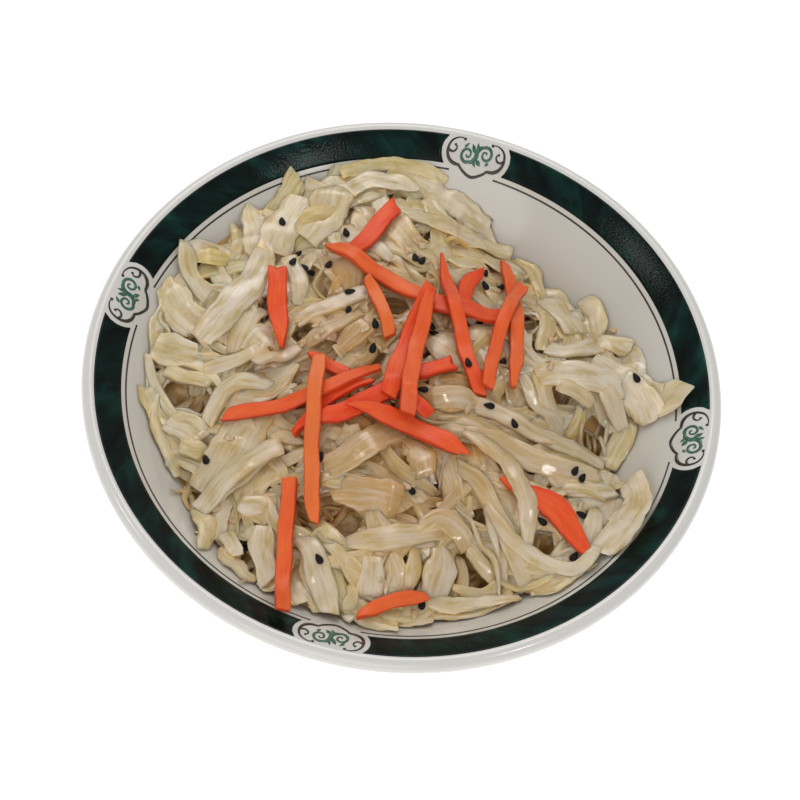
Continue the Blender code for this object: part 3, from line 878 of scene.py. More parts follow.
def squared(count, square):
    """Points round a section, from -1 to 1 each way: a circle for a square of 2, and above it a bar."""
    power = 2 / square
    waves = (np.cos(circle(count)), np.sin(circle(count)))
    return [np.sign(wave) * np.abs(wave) ** power for wave in waves]


def swept(middle, side, up, a, b):
    """Points at places a to the side and b up, on each ring round the middle."""
    return middle[:, None] + side[:, None] * a[..., None] + up[:, None] * b[..., None]


def strip(rings, grain, ahead, cap):
    """Vertices, faces and grain of rings joined end to end, with a smaller ring and a middle point that
    close each end. The cap is the small ring's share, and how far it and the middle stand out."""
    share, ring_out, middle_out = cap
    hearts = [rings[end].mean(axis=0) for end in (0, -1)]
    outward = (-ahead[0], ahead[-1])
    small = [heart + (rings[end] - heart) * share for heart, end in zip(hearts, (0, -1))]
    near, far = (ring + out * ring_out for ring, out in zip(small, outward))
    middles = [heart + out * middle_out for heart, out in zip(hearts, outward)]
    verts = np.vstack((near, *rings, far, middles))
    grain = np.vstack((grain[0], *grain, grain[-1], grain[0, 0], grain[-1, -1]))
    return verts, shell_faces(len(rings) + 2, rings.shape[1]), grain


class Bundle:
    """Gathers the meshes of many strips into one piece."""

    def __init__(self):
        self.verts, self.faces, self.grain, self.tint = [], [], [], []
        self.count = 0

    def add(self, verts, faces, grain, tint):
        self.faces += [tuple(v + self.count for v in face) for face in faces]
        self.count += len(verts)
        self.verts.append(verts)
        self.grain.append(grain)
        self.tint.append(tint)

    def finish(self, name, material, slot):
        piece = new_piece(name, np.vstack(self.verts), self.faces, material)
        vector_attribute(piece.data, "grain", np.vstack(self.grain))
        vector_attribute(piece.data, "tint", np.vstack(self.tint))
        return piece


# ------------------------------------------ shreds

# A shred's own chance: how widely its slanted ends, its swelling, its wedge and its dipping ends vary,
# how many millimetres apart its frills may be, and how far off in the grain's pattern it may start.
SLANT_SPREAD = 0.35
SWELL_SPREAD = 0.07
WEDGE_MOST = 0.45
LIFT_SPREAD = 0.5
FRILL_SPAN = (7, 12)
GRAIN_REACH = 900

# A shred's form. Waves are in radians a millimetre, but the swell's runs over the shred's length. A
# shift is how far one edge's wave is ahead of the other's, in radians. Powers say how close to its ends
# a shred changes.
END_POWER = 5
END_THINS = 0.55
THIN_POWER = 8
SWELL_WAVE = 3.1
CURL_LEVEL = 0.33
CURL_LEAST = 0.75
CURL_WAVE = 0.16
FRILL_SHIFT = 1.3
RIDGE_WAVE = 2.4
RIDGE_DRIFT = 0.12
FLAT_FROM = 0.3
DIMPLE = 0.16 * MM
DIMPLE_WAVES = (0.7, 1.1, 0.23)
EDGE_WAVE = 0.45
EDGE_SHIFT = 2.1
FEWEST_RINGS = 8
SHRED_CAP_SHAPE = (0.72, 0.22 * MM, 0.28 * MM)

# How each kind of shred is cut and lies, with its piece's name and its least and most roughness. Wave,
# frill, lift, ring, ridge and sink are in millimetres, roll in degrees, and curl in half-widths: its
# mean and spread. A shred may sink this deep in those below it, and its ends dip by the lift.
KINDS = {
    "rib": dict(
        wave=0.7, roll=7, twist=0.16, curl=(-0.06, 0.10), frill=0.0, taper=(0.05, 0.45), lift=-0.9,
        ring=1.6, points=18, square=4.6, ridge=0.08, ripple=0.05, sink=1.1,
        piece="cabbage_ribs", rough=(0.28, 0.46),
    ),
    "leaf": dict(
        wave=1.1, roll=7, twist=0.25, curl=(0.0, 0.12), frill=0.20, taper=(0.1, 0.7), lift=-0.5,
        ring=1.6, points=12, square=2.8, ridge=0.04, ripple=0.10, sink=0.7,
        piece="cabbage_leaves", rough=(0.24, 0.42),
    ),
    "string": dict(
        wave=1.6, roll=5, twist=0.2, curl=(0.0, 0.05), frill=0.0, taper=(0.2, 0.8), lift=-0.2,
        ring=1.5, points=8, square=2.2, ridge=0.0, ripple=0.08, sink=0.5,
        piece="cabbage_strings", rough=(0.26, 0.42),
    ),
}

# Shreds that stand out in the photograph, from the lowest to the one on top: kind, path in x and y,
# width and thickness in millimetres, then how green, how amber and how white it is.
SHREDS = (
    # far edge
    ("leaf", ((-17, 62), (-7, 65), (3, 66), (14, 67), (21, 68)), 8.4, 0.9, 0.05, 0.1, 0.4),
    ("leaf", ((23, 67), (30, 62), (35, 53), (39, 37), (39, 26)), 5.3, 1.0, 0.3, 0.2, 0.2),
    ("leaf", ((-40, 73), (-33, 79), (-20, 83), (-6, 83)), 5.3, 0.7, 0.4, 0, 0.4),
    ("leaf", ((-38, 62), (-32, 71), (-23, 75), (-15, 75)), 9.1, 1.1, 0.05, 0, 0.8),
    ("leaf", ((-65, 53), (-60, 43), (-55, 31)), 10.5, 0.8, 0.05, 0, 0.7),
    ("leaf", ((-50, 59), (-52, 47), (-53, 34)), 12.7, 0.9, 0.1, 0, 0.6),
    ("leaf", ((-40, 66), (-40, 54), (-44, 43)), 14.0, 0.9, 0.15, 0, 0.5),
    ("leaf", ((-47, 48), (-43, 52), (-38, 55)), 6.2, 1.0, 0.5, 0.1, 0.2),
    ("leaf", ((-22, 61), (-15, 55), (-8, 48)), 9.9, 1.0, 0.05, 0.35, 0.2),
    ("rib", ((-26, 48), (-21, 46), (-15, 42)), 5.3, 2.0, 0, 0, 1),
    ("leaf", ((-1, 59), (3, 61), (7, 61)), 2.8, 1.0, 0.9, 0.6, 0),
    # left
    ("leaf", ((-83, 16), (-77, 9), (-66, 0)), 11.9, 0.8, 0.1, 0, 0.6),
    ("leaf", ((-80, 8), (-73, 3), (-63, -4)), 2.8, 1.6, 0.1, 0.1, 0.8),
    ("leaf", ((-73, -21), (-72, -30), (-66, -39), (-59, -47)), 4.0, 0.7, 0.2, 0, 0.5),
    ("rib", ((-79, -7), (-72, -8), (-65, -8)), 9.9, 2.2, 0.15, 0, 0.9),
    ("rib", ((-73, -15), (-66, -16), (-58, -16)), 4.9, 1.8, 0.3, 0.1, 0.5),
    ("rib", ((-67, -31), (-61, -32), (-55, -34)), 9.9, 2.2, 0.1, 0, 0.8),
    ("rib", ((-61, -38), (-57, -39), (-53, -38)), 5.6, 1.8, 0.3, 0.1, 0.4),
    ("rib", ((-81, 31), (-78, 24), (-73, 18), (-68, 14)), 5.9, 1.6, 0.15, 0, 0.7),
    ("leaf", ((-75, 26), (-70, 28), (-66, 30)), 7.8, 1.0, 0.8, 0.1, 0),
    ("rib", ((-54, -5), (-53, 5), (-51, 13)), 8.4, 2.2, 0.1, 0.1, 0.6),
    ("leaf", ((-56, 38), (-55, 27), (-57, 16), (-61, 6), (-65, -3)), 11.0, 2.0, 0.02, 0, 1),
    ("rib", ((-49, -4), (-46, 1), (-41, 3)), 9.5, 2.8, 0, 0, 1),
    ("rib", ((-61, -13), (-52, -8), (-44, -3)), 4.9, 1.8, 0.15, 0.1, 0.6),
    ("leaf", ((-40, -22), (-43, -32), (-45, -41), (-49, -52)), 16.8, 1.2, 0.1, 0.15, 0.4),
    ("rib", ((-39, -14), (-47, -14), (-53, -19), (-55, -30)), 6.3, 2.2, 0.05, 0, 0.8),
    ("rib", ((-46, -9), (-40, -5), (-34, 0)), 4.3, 2.2, 0, 0.1, 0.9),
    # middle
    ("leaf", ((-47, 34), (-41, 24), (-39, 16)), 6.3, 1.2, 0, 0.1, 0.8),
    ("leaf", ((-32, 35), (-26, 32), (-24, 26)), 9.1, 1.3, 0, 0.7, 0.1),
    ("leaf", ((-22, 4), (-18, 9), (-16, 13)), 8.4, 1.3, 0, 0.4, 0.2),
    ("rib", ((-37, 10), (-31, 17), (-24, 23), (-18, 28)), 5.9, 2.4, 0, 0, 0.9),
    ("rib", ((-32, 3), (-26, 9), (-19, 16)), 5.3, 2.0, 0, 0.2, 0.7),
    ("leaf", ((5, 16), (12, 13), (19, 15)), 12.7, 1.4, 0, 0.1, 0.8),
    ("rib", ((19, 23), (23, 17), (26, 8)), 6.3, 2.0, 0, 0, 0.9),
    ("leaf", ((10, -3), (15, 2), (22, 3)), 6.3, 1.0, 0, 1, 0),
    ("rib", ((-35, -32), (-30, -30), (-24, -30)), 3.8, 1.8, 0.2, 0.2, 0.5),
    ("rib", ((-19, -26), (-15, -26), (-10, -26)), 4.3, 1.6, 0, 0.1, 0.8),
    ("leaf", ((-12, -20), (-8, -21), (-5, -25)), 5.6, 1.2, 0, 1, 0),
    ("rib", ((-14, -27), (-7, -26)), 8.1, 3.6, 0, 0, 1),
    ("leaf", ((-11, -46), (-2, -44), (10, -44)), 11.9, 1.2, 0, 0.3, 0.3),
    ("leaf", ((-17, -39), (-10, -35), (-4, -28), (3, -18)), 10.5, 1.6, 0.05, 0.1, 0.7),
    ("leaf", ((6, -22), (12, -27), (15, -33)), 8.4, 1.4, 0.1, 0.2, 0.4),
    # near left
    ("leaf", ((-50, -58), (-45, -63), (-43, -72)), 6.3, 1.0, 0.35, 0, 0.5),
    ("rib", ((-39, -63), (-36, -67), (-33, -71)), 5.6, 2.0, 0, 0, 0.9),
    ("rib", ((-28, -60), (-26, -68), (-21, -76)), 7.7, 2.2, 0, 0.1, 0.8),
    ("rib", ((-49, -58), (-44, -50), (-38, -41), (-30, -34)), 8.4, 2.4, 0.1, 0, 0.8),
    ("leaf", ((-37, -55), (-33, -54), (-29, -54)), 8.4, 2.2, 0, 0, 1),
    ("rib", ((-18, -58), (-11, -66), (-6, -74), (-1, -82)), 8.4, 2.4, 0.05, 0, 0.8),
    # near
    ("rib", ((-8, -61), (-1, -66), (5, -72)), 4.3, 1.8, 0.2, 0.1, 0.6),
    ("rib", ((-1, -66), (5, -68), (10, -68)), 5.6, 1.6, 0.3, 0.1, 0.4),
    ("rib", ((3, -80), (4, -75), (2, -72)), 4.3, 1.6, 0.3, 0.1, 0.4),
    ("rib", ((6, -62), (8, -68), (9, -75)), 7.7, 2.4, 0, 0, 0.9),
    ("rib", ((13, -60), (16, -66), (15, -72)), 5.3, 2.0, 0.1, 0.1, 0.6),
    ("rib", ((18, -56), (19, -62), (19, -69)), 4.9, 1.8, 0.2, 0.1, 0.5),
    ("rib", ((31, -52), (34, -58), (34, -66)), 3.8, 1.8, 0.1, 0.3, 0.4),
    ("rib", ((33, -49), (38, -52), (44, -56)), 5.3, 1.8, 0.2, 0.1, 0.5),
    ("rib", ((25, -52), (27, -59), (27, -68)), 9.5, 2.6, 0, 0, 0.9),
    ("rib", ((-3, -60), (6, -57), (15, -53), (24, -48)), 7.1, 2.4, 0.1, 0, 0.7),
    ("rib", ((18, -50), (23, -45), (29, -46), (33, -49)), 7.1, 2.2, 0.1, 0.1, 0.6),
    ("rib", ((32, -63), (39, -62), (45, -58)), 4.6, 1.6, 0.2, 0.1, 0.5),
    ("leaf", ((25, -69), (33, -68), (42, -64), (52, -59)), 5.3, 1.2, 0.1, 0, 0.7),
    ("leaf", ((45, -56), (53, -56), (60, -51)), 2.5, 1.3, 0.3, 0, 0.6),
    # right
    ("leaf", ((43, 39), (48, 35), (46, 27)), 9.1, 1.1, 0.3, 0.2, 0.3),
    ("rib", ((36, 54), (42, 45), (49, 39)), 9.9, 1.6, 0.15, 0.1, 0.5),
    ("leaf", ((47, 55), (53, 51), (56, 44)), 7.7, 0.9, 0.2, 0, 0.6),
    ("rib", ((41, 27), (50, 29), (57, 39)), 7.1, 1.8, 0.05, 0, 0.8),
    ("rib", ((56, 40), (61, 40), (67, 39)), 6.6, 1.6, 0.15, 0, 0.7),
    ("rib", ((56, 29), (63, 26), (69, 24)), 9.1, 1.6, 0.1, 0, 0.7),
    ("rib", ((40, 13), (48, 16), (57, 19), (67, 21)), 9.5, 2.6, 0, 0, 1),
    ("rib", ((61, 18), (66, 14), (71, 10)), 6.3, 2.0, 0.1, 0.1, 0.7),
    ("leaf", ((75, 24), (80, 19), (86, 24)), 11.9, 0.7, 0.1, 0, 0.6),
    ("leaf", ((67, 23), (72, 20), (78, 12)), 14.0, 1.2, 0.1, 0, 1),
    ("rib", ((47, 12), (53, 12), (59, 12)), 5.6, 2.0, 0.1, 0.1, 0.7),
    ("leaf", ((56, 9), (56, 5), (54, 1)), 4.6, 1.2, 0.6, 0.1, 0.2),
    ("string", ((57, 6), (58, 1)), 1.5, 1.2, 0.1, 0.4, 0.4),
    ("string", ((60, 7), (62, 1)), 1.5, 1.2, 0.1, 0.4, 0.4),
    ("string", ((62, 7), (64, 1)), 1.5, 1.2, 0.1, 0.3, 0.5),
    ("string", ((64, 6), (67, 1)), 1.5, 1.2, 0, 0.2, 0.8),
    ("leaf", ((76, -9), (79, -18), (77, -30), (71, -40)), 13.5, 0.5, 0, 0, 1),
    ("rib", ((68, -24), (68, -33), (68, -40)), 5.6, 1.6, 0.1, 0, 0.8),
    ("rib", ((56, -22), (63, -20), (70, -20)), 4.3, 1.6, 0.1, 0, 0.7),
    ("leaf", ((47, -13), (55, -12), (65, -5)), 4.3, 1.2, 0.5, 0.3, 0.1),
    ("rib", ((12, -16), (22, -16), (33, -15), (43, -17), (54, -17), (66, -12)), 7.4, 2.2, 0.05, 0.15, 0.5),
    ("rib", ((10, -8), (20, -4), (29, -4), (40, -6), (53, -7), (67, -3)), 7.4, 2.6, 0, 0, 0.8),
)
SHREDS_OVER_SLICE = (
    ("rib", ((23, -26), (31, -29), (38, -37), (46, -46), (53, -55)), 6.6, 2.0, 0.05, 0.1, 0.5),
    ("string", ((31, -40), (36, -47), (41, -50), (44, -55), (46, -61)), 1.8, 1.2, 0.1, 0, 0.7),
    ("string", ((34, -36), (38, -42), (41, -47), (43, -50)), 2.5, 1.2, 0, 0, 1),
    ("rib", ((35, -37), (41, -42), (49, -46), (57, -48), (65, -48), (69, -44), (71, -38)),
        5.3, 1.6, 0, 0, 0.7),
    ("leaf", ((23, -15), (31, -18), (39, -22), (46, -31), (49, -38), (50, -45)), 6.4, 1.2, 0, 0, 0.5),
)
SHRED_CAP = 4.5 * MM
ROW_AMBER = 0.4
PATH_TURNS = (1.0, 1.8)
PATH_POINTS = 25
PATH_STEPS = 8

# Random fill under them: how many of each kind, with lengths, widths and thicknesses in millimetres. A
# shred's heading turns from its neighbour's by this many degrees, and its bow is a share of its length.
FILL = (
    ("rib", 190, (14, 34), (3.0, 7.0), (1.2, 2.0)),
    ("leaf", 420, (16, 40), (3.5, 10.0), (0.6, 1.0)),
    ("string", 120, (16, 44), (1.1, 2.0), (0.8, 1.2)),
)
FILL_TRIES = 10
FILL_SPOTS = 60
FILL_TURN = 28
FILL_BOW = 0.16
FILL_CAP = 1.0 * MM
FILL_OVERLAP = 1.5 * MM
FILL_OVERHANG = 2 * MM
FILL_GREEN = (0.12, 0.20)
FILL_AMBER = 0.8
FILL_WHITE = 0.9
# Painted light and shade on the fill: whiter at the right, less white on the near and far sides, from these
# places on.
RIGHT_PAINTED_LIGHT = 0.5
RIGHT_FROM = 35 * MM
RIGHT_BEYOND = -20 * MM
NEAR_PAINTED_SHADE = 0.2
NEAR_FROM = -30 * MM
FAR_PAINTED_SHADE = 0.3
FAR_FROM = 35 * MM
MOST_GREEN = 0.8
AMBER_SPREAD = 0.1

# Gaps that stay open to the dim depth: x, y and radius in millimetres. Thin strings cross their depth.
GAPS = (
    (-58, -23, 2.2), (-67, -21, 2.2), (-53, -51, 2.2), (-10, -49, 3.2), (-4, -52, 3.2), (-19, -53, 2.6),
    (-27, -72, 2.2), (34, -54, 2.6), (18, -65, 2), (54, -42, 3.5), (62, 6, 3.2), (49, 13, 2.4),
    (39, 28, 2.2), (16, 2, 3.4), (33, 37, 2.4), (-74, 2, 1.6), (-60, 7, 1.6), (36, -39, 2.2),
    (-48, 14, 2.2), (-35, 7, 2), (-9, 24, 3), (37, -61, 2.6), (41, -55, 2.2),
)
DEEP_STRINGS = 3
DEEP_LENGTHS = (9, 16)
DEEP_WIDTHS = (1.2, 2.6)
DEEP_THICKNESS = 0.9 * MM
DEEP_SPREAD = 1.5
DEEP_BOW = 2
DEEP_WAVE = 0.5 * MM
DEEP_TINT = (0.1, 0.3, 0.3)


def stain_and_depth_shade(verts):
    """How far each vertex turns amber: painted shade that grows with the depth, stronger where dressing has
    soaked in, plus the soaked dressing's own colour.
    """
    x, y, z = verts.T
    soaked = place_share(SOAKED_PLACE, x, y)
    deep = np.clip((heap_height(x, y) + STAIN_AND_SHADE_TOP - z) / STAIN_AND_SHADE_DEPTH, 0, 1)
    return deep * (UNSOAKED_SHADE_SHARE + (1 - UNSOAKED_SHADE_SHARE) * soaked) + SOAK_STAIN * soaked


def random_phases(rng):
    """Eight places on a wave, in radians."""
    return [rng.uniform(0, math.tau) for _ in range(8)]


class Shred:
    """A strip of cabbage laid on the ground along a path in plan.

    Its section is a rounded bar that may curl up or down at its edges and roll to one side."""

    def __init__(self, path, width, thickness, kind, tint, rng):
        steps = np.linalg.norm(np.diff(path, axis=0), axis=1)
        self.length = steps.sum()
        self.places = np.concatenate(([0.0], np.cumsum(steps))) / self.length
        self.path = path
        ahead = np.gradient(path, axis=0)
        self.left = np.stack((-ahead[:, 1], ahead[:, 0]), axis=1)
        self.width = width
        self.thickness = thickness
        self.kind = kind
        self.tint = tint
        self.roll = math.tan(math.radians(rng.gauss(0, kind["roll"])))
        self.twist = rng.gauss(0, kind["twist"])
        self.curl = rng.gauss(*kind["curl"]) * width / 2
        self.frill = abs(rng.gauss(0, kind["frill"])) * MM
        self.frill_count = self.length / (rng.uniform(*FRILL_SPAN) * MM)
        self.taper = [rng.uniform(*kind["taper"]) for _ in range(2)]
        self.slant = [rng.gauss(0, SLANT_SPREAD) for _ in range(2)]
        self.swell = [rng.gauss(0, SWELL_SPREAD) for _ in range(3)]
        self.wedge = rng.uniform(-WEDGE_MOST, WEDGE_MOST)
        self.phases = random_phases(rng)
        self.lift = [rng.gauss(kind["lift"], LIFT_SPREAD) * MM for _ in range(2)]
        self.grain_start = rng.uniform(0, GRAIN_REACH)

    def spine(self, t):
        """Points in plan, and the directions to the left, at places t from 0 to 1."""
        points = np.stack([np.interp(t, self.places, column) for column in self.path.T], axis=1)
        left = np.stack([np.interp(t, self.places, column) for column in self.left.T], axis=1)
        return points, unit(left)

    def half_width(self, t):
        """Half the width: swells here and there, and narrows towards both ends."""
        waves = [s * np.sin((k + 1) * SWELL_WAVE * t + self.phases[k]) for k, s in enumerate(self.swell)]
        ends = 1 - self.taper[0] * (1 - t) ** END_POWER - self.taper[1] * t**END_POWER
        return self.width / 2 * (1 + sum(waves)) * ends

    def rise(self, across):
        """How far the section's middle line stands above its chord at places across it, from -1 to 1."""
        return self.curl * (across**2 - CURL_LEVEL)

    def lay(self, ground, cap, over_carrots=False):
        """Settles the shred on the ground as a string would lie, under the cap and the ceiling."""
        t = np.linspace(0, 1, max(FEWEST_ALONG, math.ceil(self.length / SPACING)))
        across = np.linspace(-1, 1, max(FEWEST_ACROSS, math.ceil(self.width / SPACING)))
        points, left = self.spine(t)
        reach = self.half_width(t)[:, None] * across
        x, y = (points[:, [axis]] + left[:, [axis]] * reach for axis in (0, 1))
        rolled = self.roll + self.twist * (t - 0.5)
        tilt = ground.slope_along(points, left) + rolled
        lean = tilt[:, None] * reach + self.rise(across)
        cells = ground.cells(x, y)
        bowl = ground.bowl[cells]
        least = (bowl - lean).max(axis=1)
        rest = (np.maximum(ground.height[cells] - self.kind["sink"] * MM, bowl) - lean).max(axis=1)
        most = np.maximum(ground.target[cells].mean(axis=1) + cap, least)
        if not over_carrots:
            room = ground.ceiling[cells] - self.thickness - CARROT_GAP - lean
            most = np.minimum(most, room.min(axis=1))
        z = settled(rest, most)
        self.overlap = float(np.mean(np.maximum(rest - z, 0)))
        z = eased(z)
        z = np.maximum(z + self.lift[0] * (1 - t) ** END_POWER + self.lift[1] * t**END_POWER, least)
        self.t, self.z, self.tilt = t, z, tilt
        self.covered = (x, y, z[:, None] + lean + self.thickness)

    def keep(self, ground, bundle):
        """Raises the ground to the shred's top, and adds the shred to its bundle."""
        ground.raise_to(*self.covered)
        bundle.add(*self.mesh())

    def directions(self, t):
        """The middle line at places t, with the directions ahead, to the side and up."""
        plan, left = self.spine(t)
        middle = np.column_stack((plan, np.interp(t, self.t, self.z) + self.thickness / 2))
        ahead = unit(np.gradient(middle, axis=0))
        side = np.column_stack((left, np.interp(t, self.t, self.tilt)))
        side = unit(side - ahead * (side * ahead).sum(axis=1)[:, None])
        return middle, ahead, side, np.cross(ahead, side)

    def section_heights(self, t, run, wide, round_a, round_b):
        """How far the section stands up from its middle: thinner at the ends, curled, frilled, ridged
        along the fibres, dimpled, and thicker towards one edge."""
        phase = self.phases
        thin = 1 - END_THINS * ((1 - t) ** THIN_POWER + t**THIN_POWER)
        up = (self.thickness / 2 * thin)[:, None] * round_b
        up = up + self.rise(round_a) * (CURL_LEAST + (1 - CURL_LEAST) * np.sin(run * CURL_WAVE + phase[3]))
        ruffle = math.tau * self.frill_count * t[:, None] + phase[4] + FRILL_SHIFT * np.sign(wide)
        up = up + self.frill * np.sin(ruffle) * np.abs(round_a) ** 2
        ridge = np.sin(wide * RIDGE_WAVE + phase[5] + RIDGE_DRIFT * run) * self.kind["ridge"] * MM
        up = up + ridge * np.sign(round_b) * (np.abs(round_b) > FLAT_FROM)
        dimple = np.sin(run * DIMPLE_WAVES[0] + wide * DIMPLE_WAVES[1] + phase[6])
        up = up + DIMPLE * dimple * np.sin(run * DIMPLE_WAVES[2] + phase[7])
        return up * (1 + self.wedge * round_a)

    def ragged(self, run, round_a):
        """How the edges swell and shrink along the shred, each on its own."""
        edge = self.phases[0] + EDGE_SHIFT * (round_a > 0)
        waves = np.sin(run * EDGE_WAVE + edge) + 0.5 * np.sin(run * 3 * EDGE_WAVE + 2 * edge)
        return 1 + self.kind["ripple"] * waves

    def mesh(self):
        """Vertices, faces, grain and tint of the shred."""
        t = np.linspace(0, 1, max(FEWEST_RINGS, round(self.length / self.kind["ring"] / MM)))
        middle, ahead, side, up = self.directions(t)
        round_a, round_b = squared(self.kind["points"], self.kind["square"])
        run = (t * self.length / MM)[:, None]
        a = self.half_width(t)[:, None] * round_a
        wide = a / MM
        b = self.section_heights(t, run, wide, round_a, round_b)
        a = a * self.ragged(run, round_a)
        rings = swept(middle, side, up, a, b)
        for end in (0, -1):
            rings[end] += ahead[end] * (self.slant[end] * a[end])[:, None]
        grain = np.stack((run + 0 * a, wide, b / MM), axis=-1)
        verts, faces, grain = strip(rings, grain, ahead, SHRED_CAP_SHAPE)
        # Painted shade: the underside of each shred and its depth turn amber and less white, on top of the
        # colour the soaked dressing gives.
        under = np.clip(EDGE_LEVEL - grain[:, 2] * MM / self.thickness, 0, 1)
        stain_and_shade = stain_and_depth_shade(verts) + UNDERSIDE_PAINTED_SHADE * under
        green, amber, white = self.tint
        amber = np.minimum(amber + stain_and_shade, MOST_AMBER)
        tint = np.column_stack((green + 0 * stain_and_shade, amber, white * (1 - STAIN_AND_SHADE_DULLS * stain_and_shade)))
        return verts, faces, grain + self.grain_start, tint


def eased(values):
    """Values, or rows of them, with the inner ones smoothed."""
    values = values.copy()
    for _ in range(3):
        values[1:-1] = (values[:-2] + 2 * values[1:-1] + values[2:]) / 4
    return values


def settled(rest, most):
    """Heights of a string that sags onto its rests and stays under its most."""
    z = np.minimum(rest, most)
    for _ in range(LAY_STEPS):
        z[1:-1] = np.clip((z[:-2] + z[2:]) / 2 - LAY_SAG, rest[1:-1], None)
        z[0] = max(rest[0], min(z[1], 2 * z[1] - z[2]) - LAY_SAG)
        z[-1] = max(rest[-1], min(z[-2], 2 * z[-2] - z[-3]) - LAY_SAG)
        z = np.minimum(z, most)
    return z


def bowed_path(x, y, heading, length, bow, wave, rng):
    """A path through its middle, bowed to the left and waving from side to side."""
    t = np.linspace(0, 1, PATH_POINTS)
    angle = math.radians(heading)
    along = np.array((math.cos(angle), math.sin(angle)))
    left = np.array((-along[1], along[0]))
    turns = math.tau * rng.uniform(*PATH_TURNS)
    aside = bow * 4 * t * (1 - t) + wave * np.sin(turns * t + rng.uniform(0, math.tau))
    return np.array((x, y)) + np.outer((t - 0.5) * length, along) + np.outer(aside, left)


def heading_near(x, y):
    """The heading of the nearest shred in the table, in degrees."""
    ends = [(row[1][0], row[1][-1]) for row in SHREDS]
    near = min(ends, key=lambda end: math.dist((x / MM, y / MM), np.mean(end, axis=0)))
    return math.degrees(math.atan2(near[1][1] - near[0][1], near[1][0] - near[0][0]))


def painted_light_at(x, y):
    """Painted light and shade: how much whiter cabbage is at the right, and how much less white on the near
    and far sides.
    """
    right = RIGHT_PAINTED_LIGHT * (x > RIGHT_FROM and y > RIGHT_BEYOND)
    return right - NEAR_PAINTED_SHADE * (y < NEAR_FROM) - FAR_PAINTED_SHADE * (y > FAR_FROM)


def fill_shred(ground, job, rng):
    """A random shred where the ground is furthest under its target, or None if it leaves the heap."""
    name, _, lengths, widths, thicknesses = job
    spots = [rng.randrange(GRID * GRID) for _ in range(FILL_SPOTS)]
    spot = max(spots, key=lambda s: ground.need.flat[s])
    x, y = ground.x.flat[spot], ground.y.flat[spot]
    kind = KINDS[name]
    length = rng.uniform(*lengths) * MM
    wave = rng.gauss(0, kind["wave"]) * MM
    heading = heading_near(x, y) + rng.gauss(0, FILL_TURN)
    path = bowed_path(x, y, heading, length, length * rng.gauss(0, FILL_BOW), wave, rng)
    if (np.hypot(*path.T) > heap_edge(np.arctan2(path[:, 1], path[:, 0])) + FILL_OVERHANG).any():
        return None
    green = min(MOST_GREEN, max(0.0, rng.gauss(*FILL_GREEN)))
    amber = FILL_AMBER * place_share(AMBER_PLACE, x, y)
    amber = min(1.0, amber + max(0.0, rng.gauss(0, AMBER_SPREAD)))
    # Its whiteness is its own, plus painted light and shade by where it lies.
    white = max(0.0, rng.uniform(0, FILL_WHITE) + painted_light_at(x, y))
    width, thickness = rng.uniform(*widths) * MM, rng.uniform(*thicknesses) * MM
    return Shred(path, width, thickness, kind, (green, amber, white), rng)


def lay_fill(ground, bundles, rng):
    """Lays random shreds where they are needed, clear of the gaps that stay open."""
    jobs = [job for job in FILL for _ in range(job[1])]
    rng.shuffle(jobs)
    for job in jobs:
        ground.find_need()
        for _ in range(FILL_TRIES):
            shred = fill_shred(ground, job, rng)
            if shred is None:
                continue
            shred.lay(ground, FILL_CAP)
            if ground.gap[ground.cells(*shred.covered[:2])].any() or shred.overlap > FILL_OVERLAP:
                continue
            shred.keep(ground, bundles[job[0]])
            break


def lay_deep(ground, bundle, rng):
    """Lays thin strings across each gap, on the bare core, to show in its depth."""
    for x, y in (gap[:2] for gap in GAPS for _ in range(DEEP_STRINGS)):
        x, y = mm(x + rng.gauss(0, DEEP_SPREAD), y + rng.gauss(0, DEEP_SPREAD))
        heading = rng.uniform(0, 180)
        length, bow = rng.uniform(*DEEP_LENGTHS) * MM, rng.gauss(0, DEEP_BOW) * MM
        path = bowed_path(x, y, heading, length, bow, DEEP_WAVE, rng)
        width = rng.uniform(*DEEP_WIDTHS) * MM
        shred = Shred(path, width, DEEP_THICKNESS, KINDS["string"], DEEP_TINT, rng)
        shred.lay(ground, -CORE_DEPTH / 2)
        shred.keep(ground, bundle)


def lay_rows(ground, bundles, rows, rng, over_carrots=False):
    """Lays the shreds of a table."""
    for name, path, width, thickness, green, amber, white in rows:
        path = smooth_path(path, PATH_STEPS) * MM
        amber = min(1.0, amber + ROW_AMBER * place_share(AMBER_PLACE, *path.mean(axis=0)))
        shred = Shred(path, width * MM, thickness * MM, KINDS[name], (green, amber, white), rng)
        shred.lay(ground, SHRED_CAP, over_carrots)
        shred.keep(ground, bundles[name])


def make_core():
    """The heap's own core, rough on top, lining the bowl below."""
    phases = np.random.default_rng(4).uniform(0, math.tau, 6)
    share = (np.arange(1, CORE_RINGS + 1) / CORE_RINGS)[:, None]
    angle = -circle(CORE_SEGMENTS)
    radius = heap_edge(angle) * share * CORE_INSET
    x, y = radius * np.cos(angle), radius * np.sin(angle)
    low = wall_height(radius) + BOWL_GAP
    (p, q), (r, s) = CORE_WAVES
    u, v = x / MM, y / MM
    rough = np.sin(p * u + phases[0]) * np.sin(q * v + phases[1])
    rough = rough + CORE_SECOND * np.sin(r * u + s * v + phases[2])
    top = heap_height(x, y) - core_depth(x, y) + CORE_RELIEF * rough
    top = np.maximum(top, low + CORE_LEAST * (1 - share**8))
    middles = ((0, 0, heap_height(0, 0) - CORE_DEPTH), (0, 0, wall_height(0) + BOWL_GAP))
    top, under = (np.stack((x, y, z), axis=-1) for z in (top, low))
    verts = np.vstack((*top, *under[::-1], middles))
    faces = shell_faces(2 * CORE_RINGS, CORE_SEGMENTS)
    core = new_piece("heap_core", verts, faces, core_paint())
    return core


